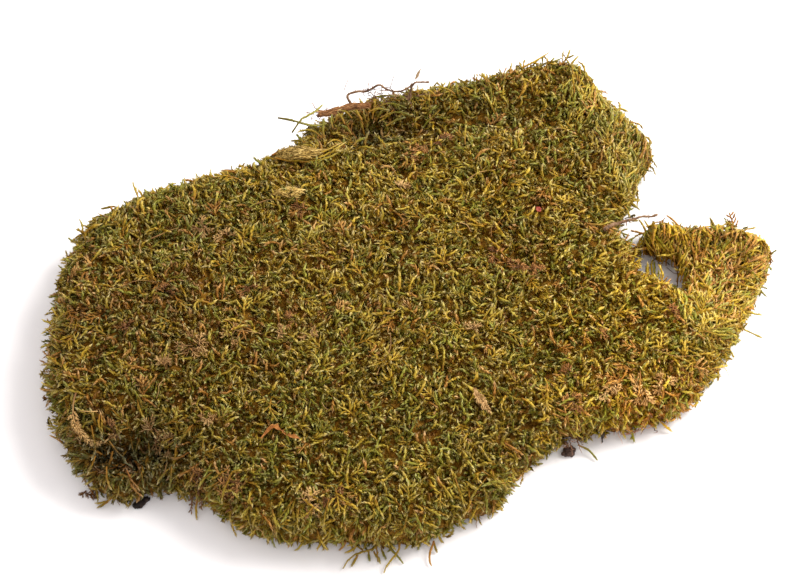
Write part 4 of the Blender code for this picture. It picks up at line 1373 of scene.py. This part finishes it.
def make_sheet(name, material, ragged, crumple, fold, rng, route=None, half=None):
    """Thin crumpled leaf over a spine, with torn edges and a thickness."""
    long, wide = 26, 9
    spine = Spine(name, 24)
    if route is not None:
        spine.follow(laid(route, 0.8), half)
    along = np.repeat(np.linspace(0, 1, long), wide).reshape(long, wide)
    across = np.tile(np.linspace(-1, 1, wide), (long, 1))
    tear = 1 + ragged * rng.uniform(-1, 0.5, (long, 2))
    across = np.where(across < 0, across * tear[:, :1], across * tear[:, 1:])
    grid = spine.place(along, across, fold * across * across)
    flat = grid.reshape(-1, 3)
    lumps = crumple * (waves(flat, 3.0, 71) + 0.6 * waves(flat, 1.3, 72))
    over = flat + lumps[:, None] * [0.25, 0.25, 1.0] + [0, 0, 0.35]
    thing = sheet_object(name + "_blade", over.reshape(grid.shape), 0.12)
    thing.data.materials.append(material)
    own(thing, name)


def make_green_shoot(name, leaves, rng):
    """Leafy green shoot along a packed stray shoot."""
    spine = Spine(name, 6)
    batch = Batch()
    paths = np.repeat(spine.path[None], 3, axis=0) + rng.normal(0, 0.12, (3, 1, 3))
    batch.tubes(spine.path[None], 0.36, 6, 0.15, np.array([0.5]), rng)
    batch.shoots(paths, 0.36, leaves, 1.2, np.array([0.45, 0.6, 0.7]), rng, (0.5, 0.42, 0.2))
    batch.build(name + "_leaves", "fresh_shoot", name)


def make_stem_detail(name, material, stubs, rng):
    """Bark of a thin dark stem, with short broken side twigs and hairs."""
    carve(name, material, 2, 0.16, (2.5, 0.8), rng)
    spine = Spine(name, 24)
    at = rng.uniform(0.05, 0.97, stubs)
    roots = spine.place(at, np.zeros(stubs), np.zeros(stubs))
    directions = rng.normal(size=(stubs, 3)) + [0, 0, 0.3]
    paths = wander(roots, directions, rng.uniform(0.9, 2.6, stubs), 4, 0.35, rng)
    radii = rng.uniform(0.1, 0.24, stubs)[:, None] * np.array([1, 0.9, 0.7, 0.4])
    build_tubes(name + "_stubs", "rootlets", paths, radii, 4, 0.2, rng)


def make_rootlets(name, centre, size, direction, count, length, thick, rng):
    """Tangle of rootlets around a place."""
    starts = np.array(centre) + rng.normal(size=(count, 3)) * size
    directions = rng.normal(direction, 0.8, (count, 3))
    paths = wander(starts, directions, rng.uniform(*length, count), 7, 0.45, rng)
    radii = rng.uniform(*thick, count)[:, None] * np.linspace(1, 0.45, 7)
    build_tubes(name, "rootlets", paths, radii, 3, 0.2, rng)


def make_twig_strands(rng):
    """Torn strands that peel off the rotten twig, each over its own stretch."""
    spine = Spine("rotten_twig", 8)
    count = 90
    rings = 7
    steps = np.linspace(0, 1, rings)
    along = rng.uniform(-0.08, 0.72, count)[:, None] + rng.uniform(0.12, 0.35, count)[:, None] * steps
    turn = rng.uniform(-0.7, math.pi + 0.7, count)[:, None] \
        + 0.16 * rng.normal(size=(count, rings)).cumsum(axis=1)
    stand = 0.85 + rng.uniform(0.0, 0.5, count)[:, None] * steps ** 2
    half = np.interp(np.clip(along, 0, 1) * 7, np.arange(8), spine.half)
    paths = spine.place(along, np.cos(turn) * stand, np.sin(turn) * stand * half)
    radii = rng.uniform(0.14, 0.32, count)[:, None] * np.array([0.6, 1, 1, 1, 0.9, 0.7, 0.4])
    build_tubes("twig_strands", "wood_strand", paths, radii, 3, 0.3, rng)


# Tangles of rootlets: name, middle, spread and direction of the roots, count, lengths and widths
TANGLES = (
    ("twig_rootlets", (-15, 84, 31), (7, 1.6, 1.2), (0.8, 0.2, 0.2), 34, (5, 12), (0.12, 0.26)),
    ("twig_end_rootlets", (-41, 76.5, 28), (1.5, 1.0, 0.8), (-0.6, -0.2, -0.3), 12, (2.5, 6),
     (0.12, 0.3)),
    ("crumb_rootlets", (61, -66, 5), (3.2, 1.0, 1.4), (0, -0.5, -0.9), 30, (4, 8), (0.1, 0.22)),
    ("front_rootlets", (85, -59, 5), (9, 1.4, 1.4), (0.1, -0.5, -0.2), 46, (4, 9), (0.13, 0.26)),
)


def make_litter(rng):
    """Every twig, stem, scrap and crumb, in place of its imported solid."""
    bark = bark_material("dark_stem_bark", ((60, 42, 28), (112, 84, 60), (166, 134, 102)), 900)
    black = bark_material("black_bark", ((12, 9, 8), (34, 25, 21), (74, 58, 50)), 700)
    wood = bark_material("rotten_wood", ((62, 36, 14), (122, 78, 38), (180, 132, 84)), 600)
    soil = bark_material("dark_soil", ((30, 20, 16), (64, 46, 38), (112, 88, 76)), 900)
    straw = bark_material("green_straw", ((104, 88, 34), (156, 136, 62), (196, 176, 104)), 900)
    tan = leaf_material("tan_leaf", ((134, 96, 50), (176, 136, 82), (206, 168, 114)))
    orange = leaf_material("orange_leaf", ((96, 52, 10), (146, 88, 28), (184, 126, 60)))
    pale = leaf_material("dry_leaf_blade", ((150, 120, 86), (192, 164, 126), (222, 200, 168)))

    carve("rotten_twig", wood, 3, 0.75, (8.0, 0.8), rng)
    make_twig_strands(rng)
    carve("bark_chip", black, 2, 0.45, (7.0, 0.6), rng)
    carve("soil_crumb", soil, 2, 0.7, (1.3, 1.3), rng)
    carve("straw_stem", straw, 1, 0.08, (3.0, 0.5), rng)
    make_stem_detail("bark_splinter", black, 8, rng)
    for name, stubs in (("wiry_stem", 26), ("forked_stem", 9), ("loose_dark_stem", 26)):
        make_stem_detail(name, bark, stubs, rng)
    make_green_shoot("stray_shoot_long", 26, rng)
    make_green_shoot("stray_shoot_short", 30, rng)
    make_wisp("dead_grass_wisp", 70, 80, rng)
    make_wisp("dead_moss_wisp", 34, 38, rng)
    make_sprig(rng)
    make_scrap_ribs(rng)
    make_sheet("leaf_scrap", tan, 0.5, 0.35, 0.4, rng, SCRAP, (0.3, 1.3, 1.9, 1.6, 0.4))
    make_sheet("orange_leaf_shred", orange, 0.5, 0.4, 0.3, rng, SHRED,
               (0.35, 0.6, 0.75, 1.5, 0.8, 0.6, 0.8, 0.4))
    make_sheet("dry_leaf_tip", pale, 0.2, 0.1, 0.25, rng)
    for tangle in TANGLES:
        make_rootlets(*tangle, rng)


# ---------------------------------------------------------------- stage


def make_stage():
    """Pale floor, soft studio light and the camera."""
    floor = mesh_object("floor", np.array([(-3, -3, 0), (3, -3, 0), (3, 3, 0), (-3, 3, 0)]),
                        np.array([(0, 1, 2), (0, 2, 3)]))
    floor.data.materials.append(floor_material())

    light = bpy.data.lights.new("key", "AREA")
    light.size = 0.7
    light.energy = 24.0
    light.color = (1.0, 0.98, 0.95)
    lamp = bpy.data.objects.new("key", light)
    lamp.location = (0.84, 0.44, 0.84)
    lamp.rotation_euler = (-lamp.location).to_track_quat("-Z", "Y").to_euler()

    world = bpy.data.worlds.new("studio")
    world.use_nodes = True
    background = world.node_tree.nodes["Background"]
    background.inputs["Color"].default_value = (1, 0.955, 0.945, 1)
    background.inputs["Strength"].default_value = 1.06
    scene = bpy.context.scene
    scene.collection.objects.link(lamp)
    scene.world = world
    scene.view_settings.view_transform = "Standard"
    scene.view_settings.look = "None"

    camera = bpy.data.cameras.new("camera")
    camera.lens = CAMERA_LENS
    camera.sensor_width = 36.0
    camera.clip_start = 0.01
    rise = math.radians(CAMERA_ELEVATION)
    back = Vector((0, -math.cos(rise), math.sin(rise)))
    eye = bpy.data.objects.new("camera", camera)
    eye.location = (Vector(CAMERA_TARGET) + back * CAMERA_DISTANCE) * MM
    eye.rotation_euler = (math.pi / 2 - rise, 0, 0)
    scene.collection.objects.link(eye)
    scene.camera = eye


# ---------------------------------------------------------------- build

make_stage()
for make, seed in ((make_thatch, 5), (make_underside, 10), (make_shoots, 1), (make_fronds, 2),
                   (make_fringe, 3), (make_rim_tufts, 11), (make_flap_fronds, 4), (make_strays, 6),
                   (make_withered, 8), (make_red_fleck, 9), (make_litter, 7)):
    make(np.random.RandomState(seed))
